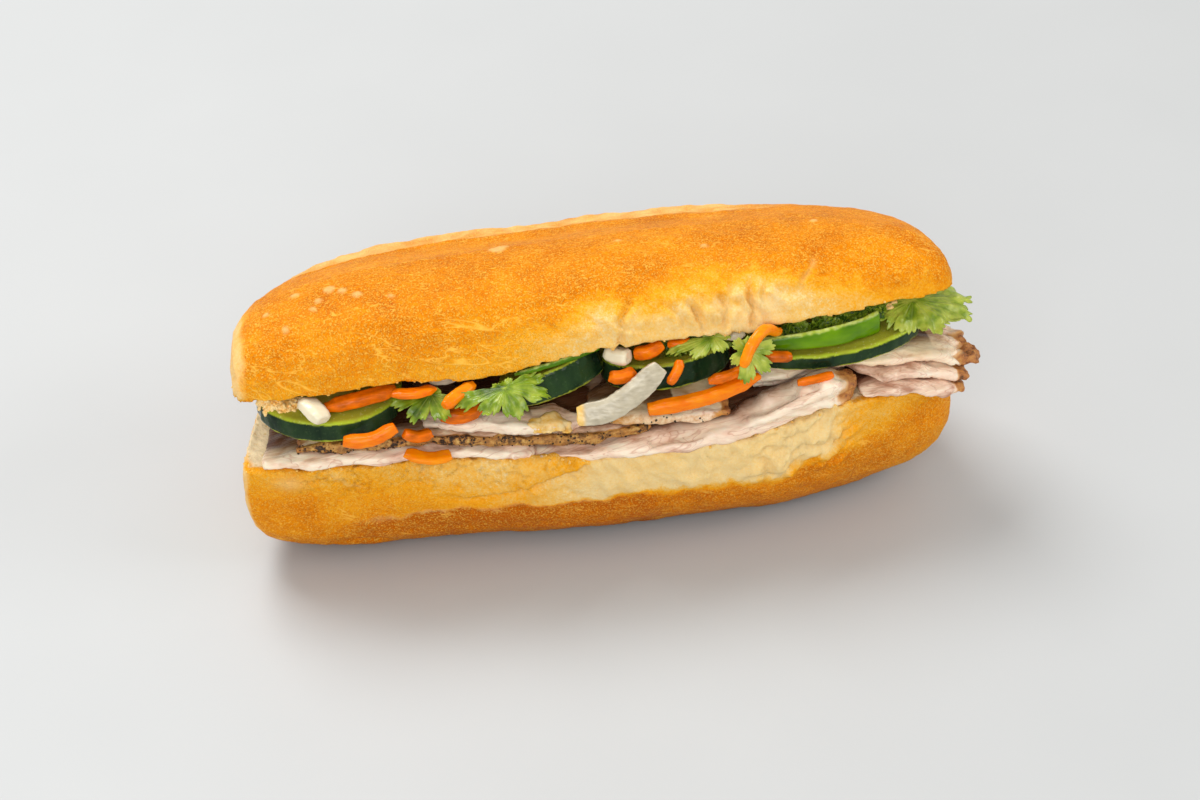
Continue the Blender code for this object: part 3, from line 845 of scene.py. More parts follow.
    def score(self, skin: RollSkin) -> None:
        """The baker's score along the crown: a groove, and behind it a torn ridge."""
        p, cx = skin.points, skin.cx
        line = skin.cy + 25.5 - 4.5 * bell(cx - 5, 60) + 4.0 * smoothstep(-40, -88, cx)
        line += 0.05 * cx + 0.9 * skin.lumps.rough(p * [1, 0, 0], 12, 3)
        along = within(cx, -93, -74, 40, 70) * skin.upper * (skin.cz > 6)
        fade = 1 - 0.55 * smoothstep(-40, 0, cx)
        skin.lift(-self.score_depth * bell(line - 0.5, self.score_width) * along * fade)
        skin.lift(1.5 * self.score_depth * bell(line - 4.6, 1.5) * along * (0.5 + 0.5 * fade))
        skin.lift(0.35 * self.score_depth * bell(line + 3.2, 1.3) * along * fade)
        torn = smoothstep(-0.6, 0.4, line) * along
        torn *= smoothstep(10.5, 8.5, line + 1.2 * skin.fine.at(p, 3))
        skin.lift(0.30 * skin.fine.rough(p, (7.0, 1.3, 1.3), 2) * torn)
        skin.bare(torn * (0.72 + 0.5 * skin.fine.at(p, (6.0, 1.4, 1.4))))

    def lap(self, skin: RollSkin) -> Array:
        """A lip of yellow crust that lies over the soft front of the bottom half.

        Returns:
            How far each point is above the lip's edge.
        """
        above = skin.z - through(self.flap_edge, skin.x)
        above -= 0.5 * skin.lumps.at(skin.points * [1, 0, 0], 3.5)
        over = np.where(skin.upper, 0, skin.front) * within(skin.x, -50, -32, -7, -4.5)
        step = smoothstep(-0.35, 0.35, above) * smoothstep(13, 3, above)
        skin.lift(self.flap_height * over * step)
        skin.lift(-0.7 * over * bell(above + 1.3, 1.2))
        return above

    @staticmethod
    def folds(skin: RollSkin) -> tuple[Array, Array]:
        """Where each point lies among wandering folds: upright ones, and ones that lean."""
        p, nil = skin.points, 0 * skin.x
        warp = np.column_stack((skin.lumps.rough(p + 11, 7, 2), nil,
                                skin.lumps.rough(p + 57, 7, 2)))
        upright = np.column_stack((skin.cx + 0.35 * skin.cz, nil, skin.cz)) + 1.5 * warp
        leaning = np.column_stack((0.62 * skin.x - 0.78 * skin.z, nil,
                                   0.78 * skin.x + 0.62 * skin.z)) + 1.8 * warp
        return upright, leaning

    def crack(self, skin: RollSkin) -> Array:
        """Fine cracks and flakes in the crust at the left of the bottom half.

        Returns:
            How deep each point is in a crack, from 0 to 1.
        """
        leaning = self.folds(skin)[1]
        low_front = skin.front * ~skin.upper
        split = np.abs(skin.lumps.rough(leaning * [1, 0, 0.55] + 200, 5.0, 2))
        split = smoothstep(0.10, 0.02, split) * within(skin.x, -86, -80, -12, -2) * low_front
        split *= smoothstep(27, 31, skin.z + 1.5 * skin.lumps.at(skin.points, 6))
        skin.lift(-0.55 * split)
        flakes = np.maximum(0, skin.fine.rough(skin.points + 9, 1.6, 2))
        where = smoothstep(29, 33, skin.z) * smoothstep(-6, -20, skin.x) * low_front
        skin.lift(0.35 * flakes * where)
        return split

    def puff(self, skin: RollSkin) -> None:
        """Soft puffs, rounded with sharp valleys between them, where the crust stayed soft."""
        upright, leaning = self.folds(skin)
        x, z, cx, cz = skin.x, skin.z, skin.cx, skin.cz
        fold_high = np.abs(skin.swell.at(upright, (4.8, 9, 13.0)))
        fold_high += 0.35 * np.abs(skin.fine.at(upright, (2.6, 9, 5.0)))
        fold_low = np.abs(skin.swell.at(leaning + 31, (4.4, 9, 10.0)))
        fold_low += 0.35 * np.abs(skin.fine.at(leaning, (2.2, 9, 5.0)))
        soft_top = within(cx, -14, 2, 48, 66) * smoothstep(13, 7, cz)
        soft_top *= 0.35 + 0.65 * smoothstep(1.0, 4.0, cz)
        soft_right = within(x, 34, 43, 62, 74) * smoothstep(19, 25, z)
        calm = within(x, -40, -20, 36, 44) * smoothstep(20, 26, z)
        low = self.right_puffs * soft_right * fold_low + self.cream_puffs * calm * fold_high
        puffs = np.where(skin.upper, self.crown_puffs * soft_top * fold_high, low)
        sunk = 0.55 * np.where(skin.upper, soft_top, soft_right)
        skin.lift((puffs - sunk) * skin.front)

    @staticmethod
    def wound(skin: RollSkin) -> None:
        """A small tear at the top left of the bottom half, and a dent near its base."""
        tear = bell(np.hypot((skin.x + 84.5) / 1.7, skin.z - 33.4), 2.4)
        tear = tear * skin.front * ~skin.upper
        skin.lift(tear * (0.9 * skin.fine.rough(skin.points, 1.6, 2) + 0.5))
        skin.bare(0.7 * tear)
        dent = bell(np.hypot((skin.x + 65.5) / 5.0, (skin.z - 8.6) / 1.3), 1.0)
        skin.lift(-2.0 * dent * (skin.y < -20) * ~skin.upper)

    def open_crumb(self, skin: RollSkin) -> None:
        """Open crumb on the cut faces, and ragged lips around them."""
        pits = skin.lumps.rough(skin.points, 3.0, 3)
        skin.lift(skin.crumb * self.crumb_pits * (0.5 * pits - 0.8 * np.maximum(0, pits - 0.25)))
        wander = 0.7 * skin.lumps.at(skin.points + 40, 13)
        wander += 0.22 * skin.fine.rough(skin.points, 2.0, 2)
        skin.lift(skin.lip * self.lip_wander * wander)

    def bake_crown(self, skin: RollSkin) -> tuple[Array, Array]:
        """How brown the crown is, and how far it belongs to the soft crust by the lip."""
        edge = through(self.crown_soft_top, skin.cx)
        ragged = skin.cz + 2.6 * skin.lumps.rough(skin.points, 5, 3)
        soft = smoothstep(edge + 6.0, edge - 5.5, ragged) * smoothstep(-48, -60, skin.cy)
        top = 0.61 + 0.08 * smoothstep(10, 20, skin.cz) + 0.04 * smoothstep(20, 80, skin.cx)
        return top + (through(self.crown_soft_bake, skin.cx) - top) * soft, soft

    def bake_bottom(self, skin: RollSkin, above: Array) -> tuple[Array, Array]:
        """How brown the bottom half is, with painted shade near its base, and how far it belongs to
        the brown band below.

        Args:
            skin: the roll's skin, on which pale crust also peels along the band's edge.
            above: how far each point is above the lip of yellow crust.

        Returns:
            Two numbers for each point.
        """
        p, x, z = skin.points, skin.x, skin.z
        band, blur = through(self.brown_top, x), through(self.brown_blur, x)
        ragged = z + 1.4 * skin.lumps.rough(p, 6, 3) + 0.5 * skin.fine.rough(p, 2.2, 2)
        under = smoothstep(band + blur, band - blur, ragged)
        cream = np.where(x < self.flap_edge[-1][0] + 0.2, smoothstep(0.3, -0.5, above), 1.0)
        cream = within(x, -34, 2, 60, 70) * cream
        soft = through(self.soft_bake, x)
        soft = soft + (0.05 - soft) * cream
        rim = 1.4 * through(self.rim_paler, x) * smoothstep(26, 35, z) * (1 - cream)
        low = soft - rim + (through(self.brown_bake, x) - soft) * under
        # Painted shade: the crust is browned further within 6 mm of the base, where shadow gathers
        # under the roll.
        low += 0.12 * smoothstep(6, 1, z)
        peel = bell((ragged - band) / blur, 0.8) * within(x, -70, -58, -8, 6)
        peel = peel * skin.front * ~skin.upper
        skin.bare(0.6 * peel * (0.5 + 0.8 * skin.fine.at(p, 3)))
        return low + (self.rear_bake - low) * 0.8 * smoothstep(0, 20, skin.y), under

    @staticmethod
    def darken(skin: RollSkin, split: Array) -> Array:
        """How shaded each point is: near the base, in cracks and deep between the halves."""
        x, low = skin.x, ~skin.upper
        base = smoothstep(10, 1.0, skin.z) * (0.35 + 0.55 * smoothstep(-50, 10, x)) * (skin.y < 0)
        cut_end = 0.10 * skin.crumb * smoothstep(-84, -90, x) * low
        deep = 0.7 * smoothstep(6, 14, skin.behind) * skin.crumb
        return np.max((base, 0.18 * split, cut_end, deep), axis=0)

    def bake(self, shape: Shape, skin: RollSkin, above: Array, split: Array) -> None:
        """Marks how each part is baked, and where shade is painted on.

        Args:
            shape: the finished shape.
            skin: where its points are.
            above: how far each point is above the lip of yellow crust.
            split: how deep each point is in a crack.
        """
        x, cx, upper, left_end = skin.x, skin.cx, skin.upper, skin.left_end
        high, soft_high = self.bake_crown(skin)
        low, under = self.bake_bottom(skin, above)
        bake = np.where(upper, high, low)
        bake += (self.end_bake - bake) * 0.85 * left_end * smoothstep(-84, -92, x)
        fleck_high = 1.0 - 0.8 * soft_high * smoothstep(-24, 4, cx)
        fleck_ends = smoothstep(-34, -56, x) + smoothstep(64, 76, x)
        fleck_low = 0.25 + 0.6 * under + 0.6 * fleck_ends
        fleck = np.where(upper, fleck_high, fleck_low) * skin.crust * (1 - left_end)
        crumb = np.maximum(skin.crumb, 0.3 * left_end * smoothstep(-88, -94, x))
        stretch = smoothstep(0, -30, cx) * smoothstep(16, 10, skin.cz)
        stretch = stretch * smoothstep(-40, -52, skin.cy) * upper
        shape.mark_shares(bake=bake, crumb=crumb, scar=skin.scar, fleck=fleck,
                          shade=self.darken(skin, split), lip=skin.lip, stretch=stretch)


# ---------------------------------------------------------------- roast pork

@dataclass(frozen=True)
class PorkFinish:
    """Moist roast pork: pink and white fibres, soft fat, a peppered brown rim, and painted shade
    deep inside.
    """

    shade: Colour = rgb(0.47, 0.24, 0.15)
    meat: Colour = rgb(0.86, 0.62, 0.46)
    pale: Colour = rgb(0.95, 0.81, 0.63)
    fat: Colour = rgb(0.84, 0.60, 0.27)
    tan: Colour = rgb(0.62, 0.29, 0.065)
    roast: Colour = rgb(0.34, 0.140, 0.030)
    char: Colour = rgb(0.035, 0.018, 0.008)
    herb: Colour = rgb(0.56, 0.31, 0.075)
    knob: Colour = rgb(0.38, 0.135, 0.035)
    strand: Colour = rgb(0.52, 0.20, 0.11)
    fat_light: Colour = rgb(0.90, 0.76, 0.50)
    herb_light: Colour = rgb(0.66, 0.42, 0.13)
    # painted shade: the colour that meat deep inside the roll is darkened towards
    deep: Colour = rgb(0.20, 0.13, 0.10)

    def make(self) -> Material:
        """The material."""
        r = Recipe("roast_pork")
        roast, fat, tone, brown = map(r.mark, ("roast", "fat", "tone", "brown"))
        fibre = r.noise(0.8, 3, r.spot((0.12, 0.7, 1.0), (0, 5, 0)), warp=0.5, rough=0.6)
        bundle = r.noise(5.0, 3, r.spot((0.40, 0.8, 1.0), (0, -8, 0)), warp=0.9)
        level = r.plus(r.plus(r.swing(fibre, 0.5), r.swing(bundle, 1.6)), tone)
        # The darkest stop, shade, is darker meat between fibres, and also painted shade where tone
        # falls deep in the roll.
        colour = r.ramp(level, (0.10, self.shade), (0.42, self.meat), (0.80, self.pale))
        strands = r.noise(4.0, 2, r.spot((0.22, 0.8, 1.0), (0, 6, 0)), warp=0.8, rough=0.6)
        colour = r.mix(r.lines(strands, 0.022, 0.5), colour, self.strand)
        fatty = r.ramp(bundle, (0.3, self.fat), (0.7, self.fat_light))
        colour = r.mix(r.times(fat, 0.85), colour, fatty)
        spots = r.noise(1.7, 3, rough=0.7)
        rim = r.ramp(spots, (0.43, self.char), (0.49, self.roast), (0.59, self.herb),
                     (0.66, self.herb_light))
        rim = r.mix(r.ramp(r.noise(5, 2), (0.45, 0.0), (0.6, 0.7)), rim,
                    r.mix(spots, self.roast, self.tan))
        patch = r.swing(spots, 0.5)
        edge = r.plus(roast, patch)
        colour = r.mix(r.ramp(edge, (0.15, 0.0), (0.38, 1.0)), colour, self.tan)
        colour = r.mix(r.ramp(edge, (0.50, 0.0), (0.72, 1.0)), colour, rim)
        end = r.plus(brown, patch)
        colour = r.mix(r.ramp(end, (0.12, 0.0), (0.45, 0.85)), colour, self.tan)
        colour = r.mix(r.ramp(end, (0.50, 0.0), (0.78, 1.0)), colour,
                       r.ramp(spots, (0.28, self.char), (0.46, self.knob), (0.74, self.tan)))
        r.relief(fibre, 0.09, 0.9)
        r.relief(bundle, 0.3, 0.7)
        r.relief(r.times(spots, roast), 0.9)
        # Painted shade: meat far behind the front edge is darkened by the deep mark.
        colour = r.tinted(colour, "deep", self.deep)
        dull = r.plus(r.times(fibre, 0.22), r.times(r.most(roast, brown), 0.30))
        return r.finish(colour, r.plus(dull, 0.16), Soft(0.12, (1.0, 0.45, 0.3), 1.2), 0.38)


@dataclass(frozen=True)
class Slice:
    """One slice of pork. Stops are (x, amount) pairs, from 0 to 1.

    rim is how brown its front edge is, rim_deep how far back that goes, fat how fatty it is, tone
    how pale it is, and ends how far each end is browned. crease is a groove along the front, and
    seam the (x, height) where it laps over its neighbour. swell thickens the front upwards.
    """

    name: str
    rim: Stops = ((0, 0.0),)
    rim_deep: float = 1.6
    fat: Stops = ((0, 0.0),)
    tone: Stops = ((0, 0.5),)
    ends: tuple[float, float] = (0.0, 0.0)
    wander: float = 0.8
    ragged_end: float = 0.0
    crease: Stops = ()
    seam: tuple[float, float] | None = None
    swell: float = 0.0


@dataclass
class RoastPork:
    """All the pork, slice by slice."""

    facet: float = 0.56
    keep: float = 0.08
    overlap: float = 1.8
    slices: tuple[Slice, ...] = (
        Slice("pork_left", fat=((-91, 0.5), (-78, 0.15), (-60, 0.0)),
              tone=((-91, 0.62), (-60, 0.60), (-17, 0.50)), seam=(-16.0, 38.6)),
        Slice("pork_folded", fat=((-15, 0.1), (20, 0.0), (60, 0.15)),
              tone=((-15, 0.55), (30, 0.60), (69, 0.66)), ends=(0.0, 7.5), seam=(-16.0, 38.6),
              crease=((12, 39.0), (23, 40.2), (31, 41.6), (39, 44.2), (47, 47.2), (57, 50.0))),
        Slice("pork_right_low", tone=((74, 0.42), (101, 0.40)), ends=(0.0, 4.0)),
        Slice("pork_crusted", rim=((-82, 1.0), (13, 1.0)), fat=((-74, 0.4), (13, 0.2)),
              tone=((0, 0.40),), ends=(3.0, 2.0), wander=1.0, swell=0.8),
        Slice("pork_right_middle", tone=((60, 0.46), (103, 0.42)), ends=(0.0, 5.0)),
        Slice("pork_pale", tone=((-48, 0.72), (-5, 0.62)), wander=1.2),
        Slice("pork_edge", rim=((-3, 0.45), (10, 0.24), (28, 0.22), (36, 0.7)),
              rim_deep=1.2, fat=((0, 1.0),), tone=((0, 0.75),), ends=(1.5, 3.0), swell=0.5),
        Slice("pork_long", fat=((38, 0.45), (107, 0.5)), tone=((38, 0.72), (107, 0.62)),
              ends=(0.0, 7.0), wander=0.7, ragged_end=3.6),
    )

    @staticmethod
    def hidden(points: Array, normals: Array) -> Array:
        """What lies deep inside the roll may be coarse."""
        return smoothstep(-22, -14, points[:, 1]) * (points[:, 0] < 84)

    def loosen(self, part: Slice, points: Array, normals: Array, back: Array,
               wave: Grain, tooth: Grain) -> Array:
        """How each point of a slice moves: a wandering edge, a lapped seam and a ragged end.

        Args:
            part: what sets this slice apart.
            points: its points.
            normals: their directions outwards.
            back: how far each lies behind the front edge.
            wave: noise for its broad waves.
            tooth: noise for its small teeth.

        Returns:
            One step for each point.
        """
        x, z = points[:, 0], points[:, 2]
        near = smoothstep(9, 2, back)
        step = np.zeros_like(points)
        wander = wave.rough(points * [1, 0, 0], 9, 3) + 0.2 * tooth.at(points, 1.1)
        step[:, 1] = near * part.wander * wander
        step[:, 2] = 0.35 * wave.rough(points * [1, 1, 0] + 50, 11, 2) * near
        if part.ragged_end:
            tip = smoothstep(x.max() - 13, x.max() - 1, x)
            prongs = tooth.rough(points * [0, 1, 0.6], 3.6, 2)
            step[:, 0] += tip * part.ragged_end * (1.3 * prongs - 0.3)
            step[:, 2] += tip * 1.3 * tooth.rough(points + 7, 3.4, 2)
        if part.seam is not None:
            step[:, 0] += self.overlap * (z - part.seam[1]) * bell(x - part.seam[0], 4.5)
        lifted = smoothstep(4, 0.5, back) * smoothstep(-0.2, 0.6, normals[:, 2])
        step[:, 2] += part.swell * lifted
        return step

    @staticmethod
    def browned(part: Slice, points: Array, back: Array, tooth: Grain) -> Array:
        """How far each point belongs to a browned end of the slice."""
        x, brown = points[:, 0], np.zeros(len(points))
        for end, gap in zip(part.ends, (x - x.min(), x.max() - x)):
            if end:
                shade = smoothstep(end, 0.3 * end, gap + 2.0 * tooth.at(points + 20, 3.0))
                brown = np.maximum(brown, shade * smoothstep(14, 8, back))
        return brown

    def slice_up(self, part: Slice, node: Object, finish: Material) -> Object:
        """Makes one slice.

        Args:
            part: what sets this slice apart.
            node: its CAD solid.
            finish: the pork's finish.

        Returns:
            The finished piece.
        """
        shape = Shape.of_node(node, self.facet, self.hidden, self.keep).smooth(2)
        seed = name_seed(part.name)
        wave, fibre, tooth = Grain(seed), Grain(seed + 1), Grain(seed + 2)
        p, n = shape.points, shape.normals
        x = p[:, 0]
        back = p[:, 1] - front_edge(p)(x)
        step = self.loosen(part, p, n, back, wave, tooth)
        brown = self.browned(part, p, back, tooth)
        slanted = p @ np.array([[1, 0, 0.05], [0, 1, 0], [0, 0, 1]])
        rise = 0.12 * fibre.rough(slanted, (12, 2.6, 1.5), 3)
        rise += 0.70 * fibre.rough(p + 90, (9, 5, 3.4), 2)
        if part.crease:
            gap = away_from(part.crease, p[:, [0, 2]] + 0.7 * wave.at(p, 6)[:, None])
            groove = 0.6 * bell(gap - 2.4, 1.6) - 1.8 * bell(gap, 0.8)
            rise += smoothstep(7, 3, back) * groove
        rise += brown * 0.55 * tooth.rough(p + 4, 2.4, 2)
        shape.shift(step + n * rise[:, None])
        rim = smoothstep(part.rim_deep + 0.7, part.rim_deep - 0.7, back + 0.8 * tooth.at(p, 2.5))
        # Painted shade: tone falls, and the deep mark rises, the further a point lies behind the
        # front edge.
        tone = through(part.tone, x) + 0.12 * wave.at(p, 7) - 0.40 * smoothstep(3, 11, back)
        fat = through(part.fat, x) * (0.6 + 0.8 * wave.at(p + 30, (12, 5, 5)))
        shape.mark_shares(roast=through(part.rim, x) * rim, brown=brown, fat=fat, tone=tone,
                          deep=smoothstep(3.0, 10.0, back) * (x < x.max() - 14))
        return shape.done(part.name + "_meat", finish, "pork", part.name)

    def build(self, nodes: Nodes, finish: Material) -> list[Object]:
        """Makes every slice."""
        return [self.slice_up(part, nodes[part.name], finish) for part in self.slices]


# ---------------------------------------------------------------- vegetables

@dataclass(frozen=True)
class CucumberFinish:
    """Near-black green skin with a waxy gloss, and wet pale flesh with a greener rim."""

    skin: Colour = rgb(0.006, 0.020, 0.008)
    skin_light: Colour = rgb(0.026, 0.060, 0.018)
    rim: Colour = rgb(0.40, 0.50, 0.025)
    flesh: Colour = rgb(0.36, 0.36, 0.030)
    heart: Colour = rgb(0.44, 0.38, 0.060)
    skin_fleck: Colour = rgb(0.10, 0.16, 0.06)
    seed: Colour = rgb(0.66, 0.64, 0.24)

    def make(self) -> Material:
        """The material."""
        r = Recipe("cucumber")
        skin, out = r.mark("skin"), r.mark("out")
        soft = r.noise(3.0, 3)
        depth = r.plus(out, r.swing(soft, 0.14))
        flesh = r.ramp(depth, (0.30, self.heart), (0.68, self.flesh), (0.93, self.flesh),
                       (0.98, self.rim))
        flecks = r.ramp(r.noise(0.9, 2, rough=0.7), (0.58, 0.0), (0.7, 0.4))
        bands = r.noise(6, 3, r.spot((1, 1, 0.25)))
        wax = r.ramp(bands, (0.38, self.skin), (0.72, self.skin_light))
        wax = r.mix(r.times(flecks, 0.35), wax, self.skin_fleck)
        flesh = r.mix(flecks, flesh, self.seed)
        r.relief(r.noise(1.6, 3), 0.14, 0.8)
        r.relief(r.cells(5.5), 0.25, 0.4)
        rough = r.mix(skin, rgb(0.26, 0.26, 0.26), rgb(0.12, 0.12, 0.12))
        return r.finish(r.mix(skin, flesh, wax), rough, Soft(0.05, (0.6, 1.0, 0.3), 1.5), 0.14)


@dataclass
class Cucumber:
    """Slices cut across a cucumber."""

    facet: float = 0.5
    names: tuple[str, ...] = ("cucumber_left", "cucumber_inner_left", "cucumber_inner_right",
                              "cucumber_right")

    def build(self, nodes: Nodes, finish: Material) -> list[Object]:
        """Makes every slice: flat cut faces, a slightly ribbed skin wall and a crisp edge."""
        made = []
        for name in self.names:
            shape = Shape.of_node(nodes[name], self.facet).smooth(4)
            p = shape.points
            flat = p - 0.5 * (p.min(0) + p.max(0))
            spread = np.linalg.eigh(flat.T @ flat)[1]
            axis = spread[:, 0] * np.sign(spread[2, 0])
            u, v = flat @ spread[:, 2], flat @ spread[:, 1]
            out = np.hypot(u / np.abs(u).max(), v / np.abs(v).max())
            high = np.abs(flat @ axis)
            half = np.percentile(high[out < 0.8], 90)
            skin = smoothstep(half - 0.35, half - 0.75, high) * smoothstep(0.86, 0.92, out)
            grain = Grain(name_seed(name))
            around = np.column_stack((u, v, 0 * u)) / np.hypot(u, v)[:, None]
            ribs = 0.22 * grain.at(around, 0.16) + 0.12 * grain.rough(p, 2.6, 2)
            face = 0.16 * grain.rough(p, 3.0, 2) - 0.30 * smoothstep(0.85, 0.4, out)
            face += 0.14 * bell(out - 0.93, 0.03)
            shape.push(skin * ribs + (1 - skin) * face)
            skin = smoothstep(0.38, 0.62, shape.averaged(skin, 3))
            shape.mark(skin=skin, out=shape.averaged(out, 2))
            made.append(shape.done(name + "_slice", finish, "cucumber", name))
        return made


@dataclass(frozen=True)
class ChilliFinish:
    """Glossy green chilli with a paler inside."""

    outside: Colour = rgb(0.040, 0.135, 0.0)
    light: Colour = rgb(0.170, 0.340, 0.0)
    inside: Colour = rgb(0.40, 0.50, 0.05)
    pith: Colour = rgb(0.58, 0.66, 0.22)

    def make(self) -> Material:
        """The material."""
        r = Recipe("green_chilli")
        skin = r.ramp(r.noise(6, 3, r.spot((0.5, 1, 1))), (0.3, self.outside), (0.7, self.light))
        pith = r.ramp(r.noise(1.5, 2), (0.4, self.inside), (0.7, self.pith))
        colour = r.mix(r.mark("rim"), skin, pith)
        r.relief(r.noise(2.2, 2), 0.12, 0.6)
        return r.finish(colour, 0.20, Soft(0.05, (0.3, 1.0, 0.1), 1.0), 0.24)


@dataclass
class Chilli:
    """Lengthwise slices of green chilli."""

    facet: float = 0.36
    names: tuple[str, ...] = ("chilli_right", "chilli_left")

    def build(self, nodes: Nodes, finish: Material) -> list[Object]:
        """Makes every slice, with its cut rim marked."""
        made = []
        for name in self.names:
            shape = Shape.of_node(nodes[name], self.facet).smooth(5)
            p, n = shape.points, shape.normals
            grain = Grain(name_seed(name))
            shape.push(0.25 * grain.rough(p, (9, 4, 4), 2))
            stations = np.arange(p[:, 0].min(), p[:, 0].max() + 1, 1.0)
            top = [p[np.abs(p[:, 0] - x) < 1.0, 2].max() for x in stations]
            below = np.interp(p[:, 0], stations, top) - p[:, 2]
            rim = smoothstep(0.5, 0.25, below + 0.25 * grain.rough(p, 1.2, 2))
            inner = smoothstep(0.45, 0.85, n[:, 1])
            shape.mark_shares(rim=shape.averaged(np.maximum(rim, inner), 1))
            made.append(shape.done(name + "_slice", finish, "chilli", name))
        return made


class Root(Enum):
    """Which root a pickled stick is cut from."""

    CARROT = "carrot"
    DAIKON = "daikon"


@dataclass(frozen=True)
class PickleFinish:
    """Wet pickled root: bright orange carrot or glassy white daikon, with faint fibres."""

    root: Root

    def make(self) -> Material:
        """The material."""
        r = Recipe(self.root.value)
        carrot = self.root is Root.CARROT
        fibre = r.noise(0.9, 3, r.spot((0.25, 0.7, 1)), rough=0.6)
        cloud = r.noise(4.0, 2)
        level = r.plus(r.times(fibre, 0.5), r.times(cloud, 0.5))
        if carrot:
            level = r.plus(r.times(level, 0.55), r.plus(r.mark("tint"), 0.225))
            colour = r.ramp(level, (0.30, rgb(0.36, 0.070, 0.001)), (0.48, rgb(0.88, 0.175, 0.0)),
                            (0.72, rgb(0.96, 0.34, 0.002)))
            colour = r.mix(r.times(r.mark("cut"), 0.4), colour, rgb(0.97, 0.44, 0.06))
        else:
            glassy = r.ramp(level, (0.34, rgb(0.36, 0.31, 0.22)), (0.52, rgb(0.50, 0.44, 0.32)),
                            (0.68, rgb(0.66, 0.60, 0.46)))
            colour = r.mix(r.mark("solid"), glassy, rgb(0.80, 0.72, 0.52))
            colour = r.mix(r.times(r.mark("sauced"), 0.85), colour, rgb(0.90, 0.55, 0.12))
        r.relief(fibre, 0.16, 0.8)
        r.relief(r.noise(2.0, 2), 0.2, 0.5)
        if carrot:
            return r.finish(colour, 0.26, Soft(0.08, (1.0, 0.35, 0.08), 1.0), 0.22)
        return r.finish(colour, 0.26, Soft(0.25, (1.0, 0.95, 0.8), 2.5), 0.5)


@dataclass
class Pickles:
    """Julienne sticks of one root.

    ribs is how deep lengthwise ribs are, taper how far ends draw in, and tints how much darker or
    lighter than usual each stick is. glassy and dipped number the sticks that are see-through
    white, and the one with sauce on its end.
    """

    root: Root
    count: int
    facet: float = 0.31
    fibre: float = 0.07
    ribs: float = 0.0
    taper: float = 0.22
    tints: tuple[float, ...] = ()
    glassy: tuple[int, ...] = ()
    glassy_solid: float = 0.15
    dipped: int = 0

    @staticmethod
    def off_spine(points: Array, along: Array, axis: Array) -> Array:
        """How each point lies off the middle line of a bent stick, across the stick."""
        cuts = np.linspace(along.min(), along.max(), 9)
        which = np.digitize(along, cuts[1:-1])
        spine = np.array([points[which == part].mean(0) for part in range(8)])
        middle = [np.interp(along, 0.5 * (cuts[1:] + cuts[:-1]), line) for line in spine.T]
        across = points - np.column_stack(middle)
        return across - (across @ axis)[:, None] * axis

    def stick(self, number: int, node: Object, finish: Material) -> Object:
        """Makes one stick: cut edges kept, sides a little wavy, ends drawn in and ragged.

        Args:
            number: which stick of this root it is.
            node: its CAD solid.
            finish: the root's finish.

        Returns:
            The finished piece.
        """
        shape = Shape.of_node(node, self.facet).smooth(1)
        grain = Grain(100 * number + self.count)
        p = shape.points
        flat = p - p.mean(0)
        axis = np.linalg.eigh(flat.T @ flat)[1][:, 2]
        along = flat @ axis
        far = np.abs(along) / np.abs(along).max()
        draw = self.taper * np.where(along * axis[0] > 0, number * 7 % 5, number * 3 % 4) / 4
        shape.shift(-self.off_spine(p, along, axis) * (draw * smoothstep(0.60, 1.0, far))[:, None])
        p, n = shape.points, shape.normals
        lengthwise = np.column_stack((along / 9, flat @ [0.3, 0.5, 0.8], 0 * along))
        rise = self.fibre * grain.rough(lengthwise, 0.9, 2) + 0.10 * grain.rough(p, 4.5, 2)
        rise += smoothstep(0.86, 1.0, far) * 0.20 * grain.rough(p, 1.2, 2)
        if self.ribs:
            rise += self.ribs * grain.at(lengthwise * [9 / 1.3, 0.3, 1], 1.0)
        shape.push(rise)
        corner = 1.0 - np.linalg.norm(shape.averaged(n, 2), axis=1)
        shape.mark_shares(cut=smoothstep(0.05, 0.25, corner))
        every = np.ones(len(p))
        shape.mark(solid=every * (self.glassy_solid if number in self.glassy else 1.0),
                   tint=every * (self.tints[number - 1] if self.tints else 0.0),
                   sauced=smoothstep(-6.0, -7.5, p[:, 0]) * (number == self.dipped))
        name = f"{self.root.value}_{number:02d}"
        return shape.done(name + "_stick", finish, self.root.value, name)

    def build(self, nodes: Nodes) -> list[Object]:
        """Makes every stick."""
        finish = PickleFinish(self.root).make()
        return [self.stick(number, nodes[f"{self.root.value}_{number:02d}"], finish)
                for number in range(1, self.count + 1)]


CARROTS = Pickles(Root.CARROT, 16, taper=0.42, tints=(
    -0.07, -0.02, 0.02, -0.07, 0.10, 0.06, -0.08, -0.03, -0.04, -0.04, -0.02, 0.04, -0.04,
    0.09, -0.03, -0.13))
DAIKON = Pickles(Root.DAIKON, 5, ribs=0.12, glassy=(2, 5), dipped=2)


# ---------------------------------------------------------------- coriander

@dataclass(frozen=True)
class LeafFinish:
    """Coriander leaf: green with paler veins, satin above."""

    deep: Colour = rgb(0.045, 0.105, 0.003)
    fresh: Colour = rgb(0.180, 0.285, 0.008)
    bright: Colour = rgb(0.430, 0.500, 0.062)
    vein: Colour = rgb(0.44, 0.50, 0.09)

    def make(self) -> Material:
        """The material."""
        r = Recipe("coriander_leaf")
        level = r.plus(r.times(r.noise(2.6, 3), 0.9), r.plus(r.mark("light"), -0.1))
        blade = r.ramp(level, (0.22, self.deep), (0.55, self.fresh), (0.92, self.bright))
        colour = r.mix(r.mark("vein"), blade, self.vein)
        r.relief(r.noise(1.6, 3), 0.26, 0.8)
        return r.finish(colour, 0.30, Soft(0.06, (0.4, 1.0, 0.1), 0.6), 0.45)


@dataclass(frozen=True)
class Lobe:
    """One lobe of a leaf: where it points, in degrees from straight ahead, its length as a share
    of the leaf's reach, and half its breadth in degrees."""

    points_at: float
    length: float
    half: float = 24.0


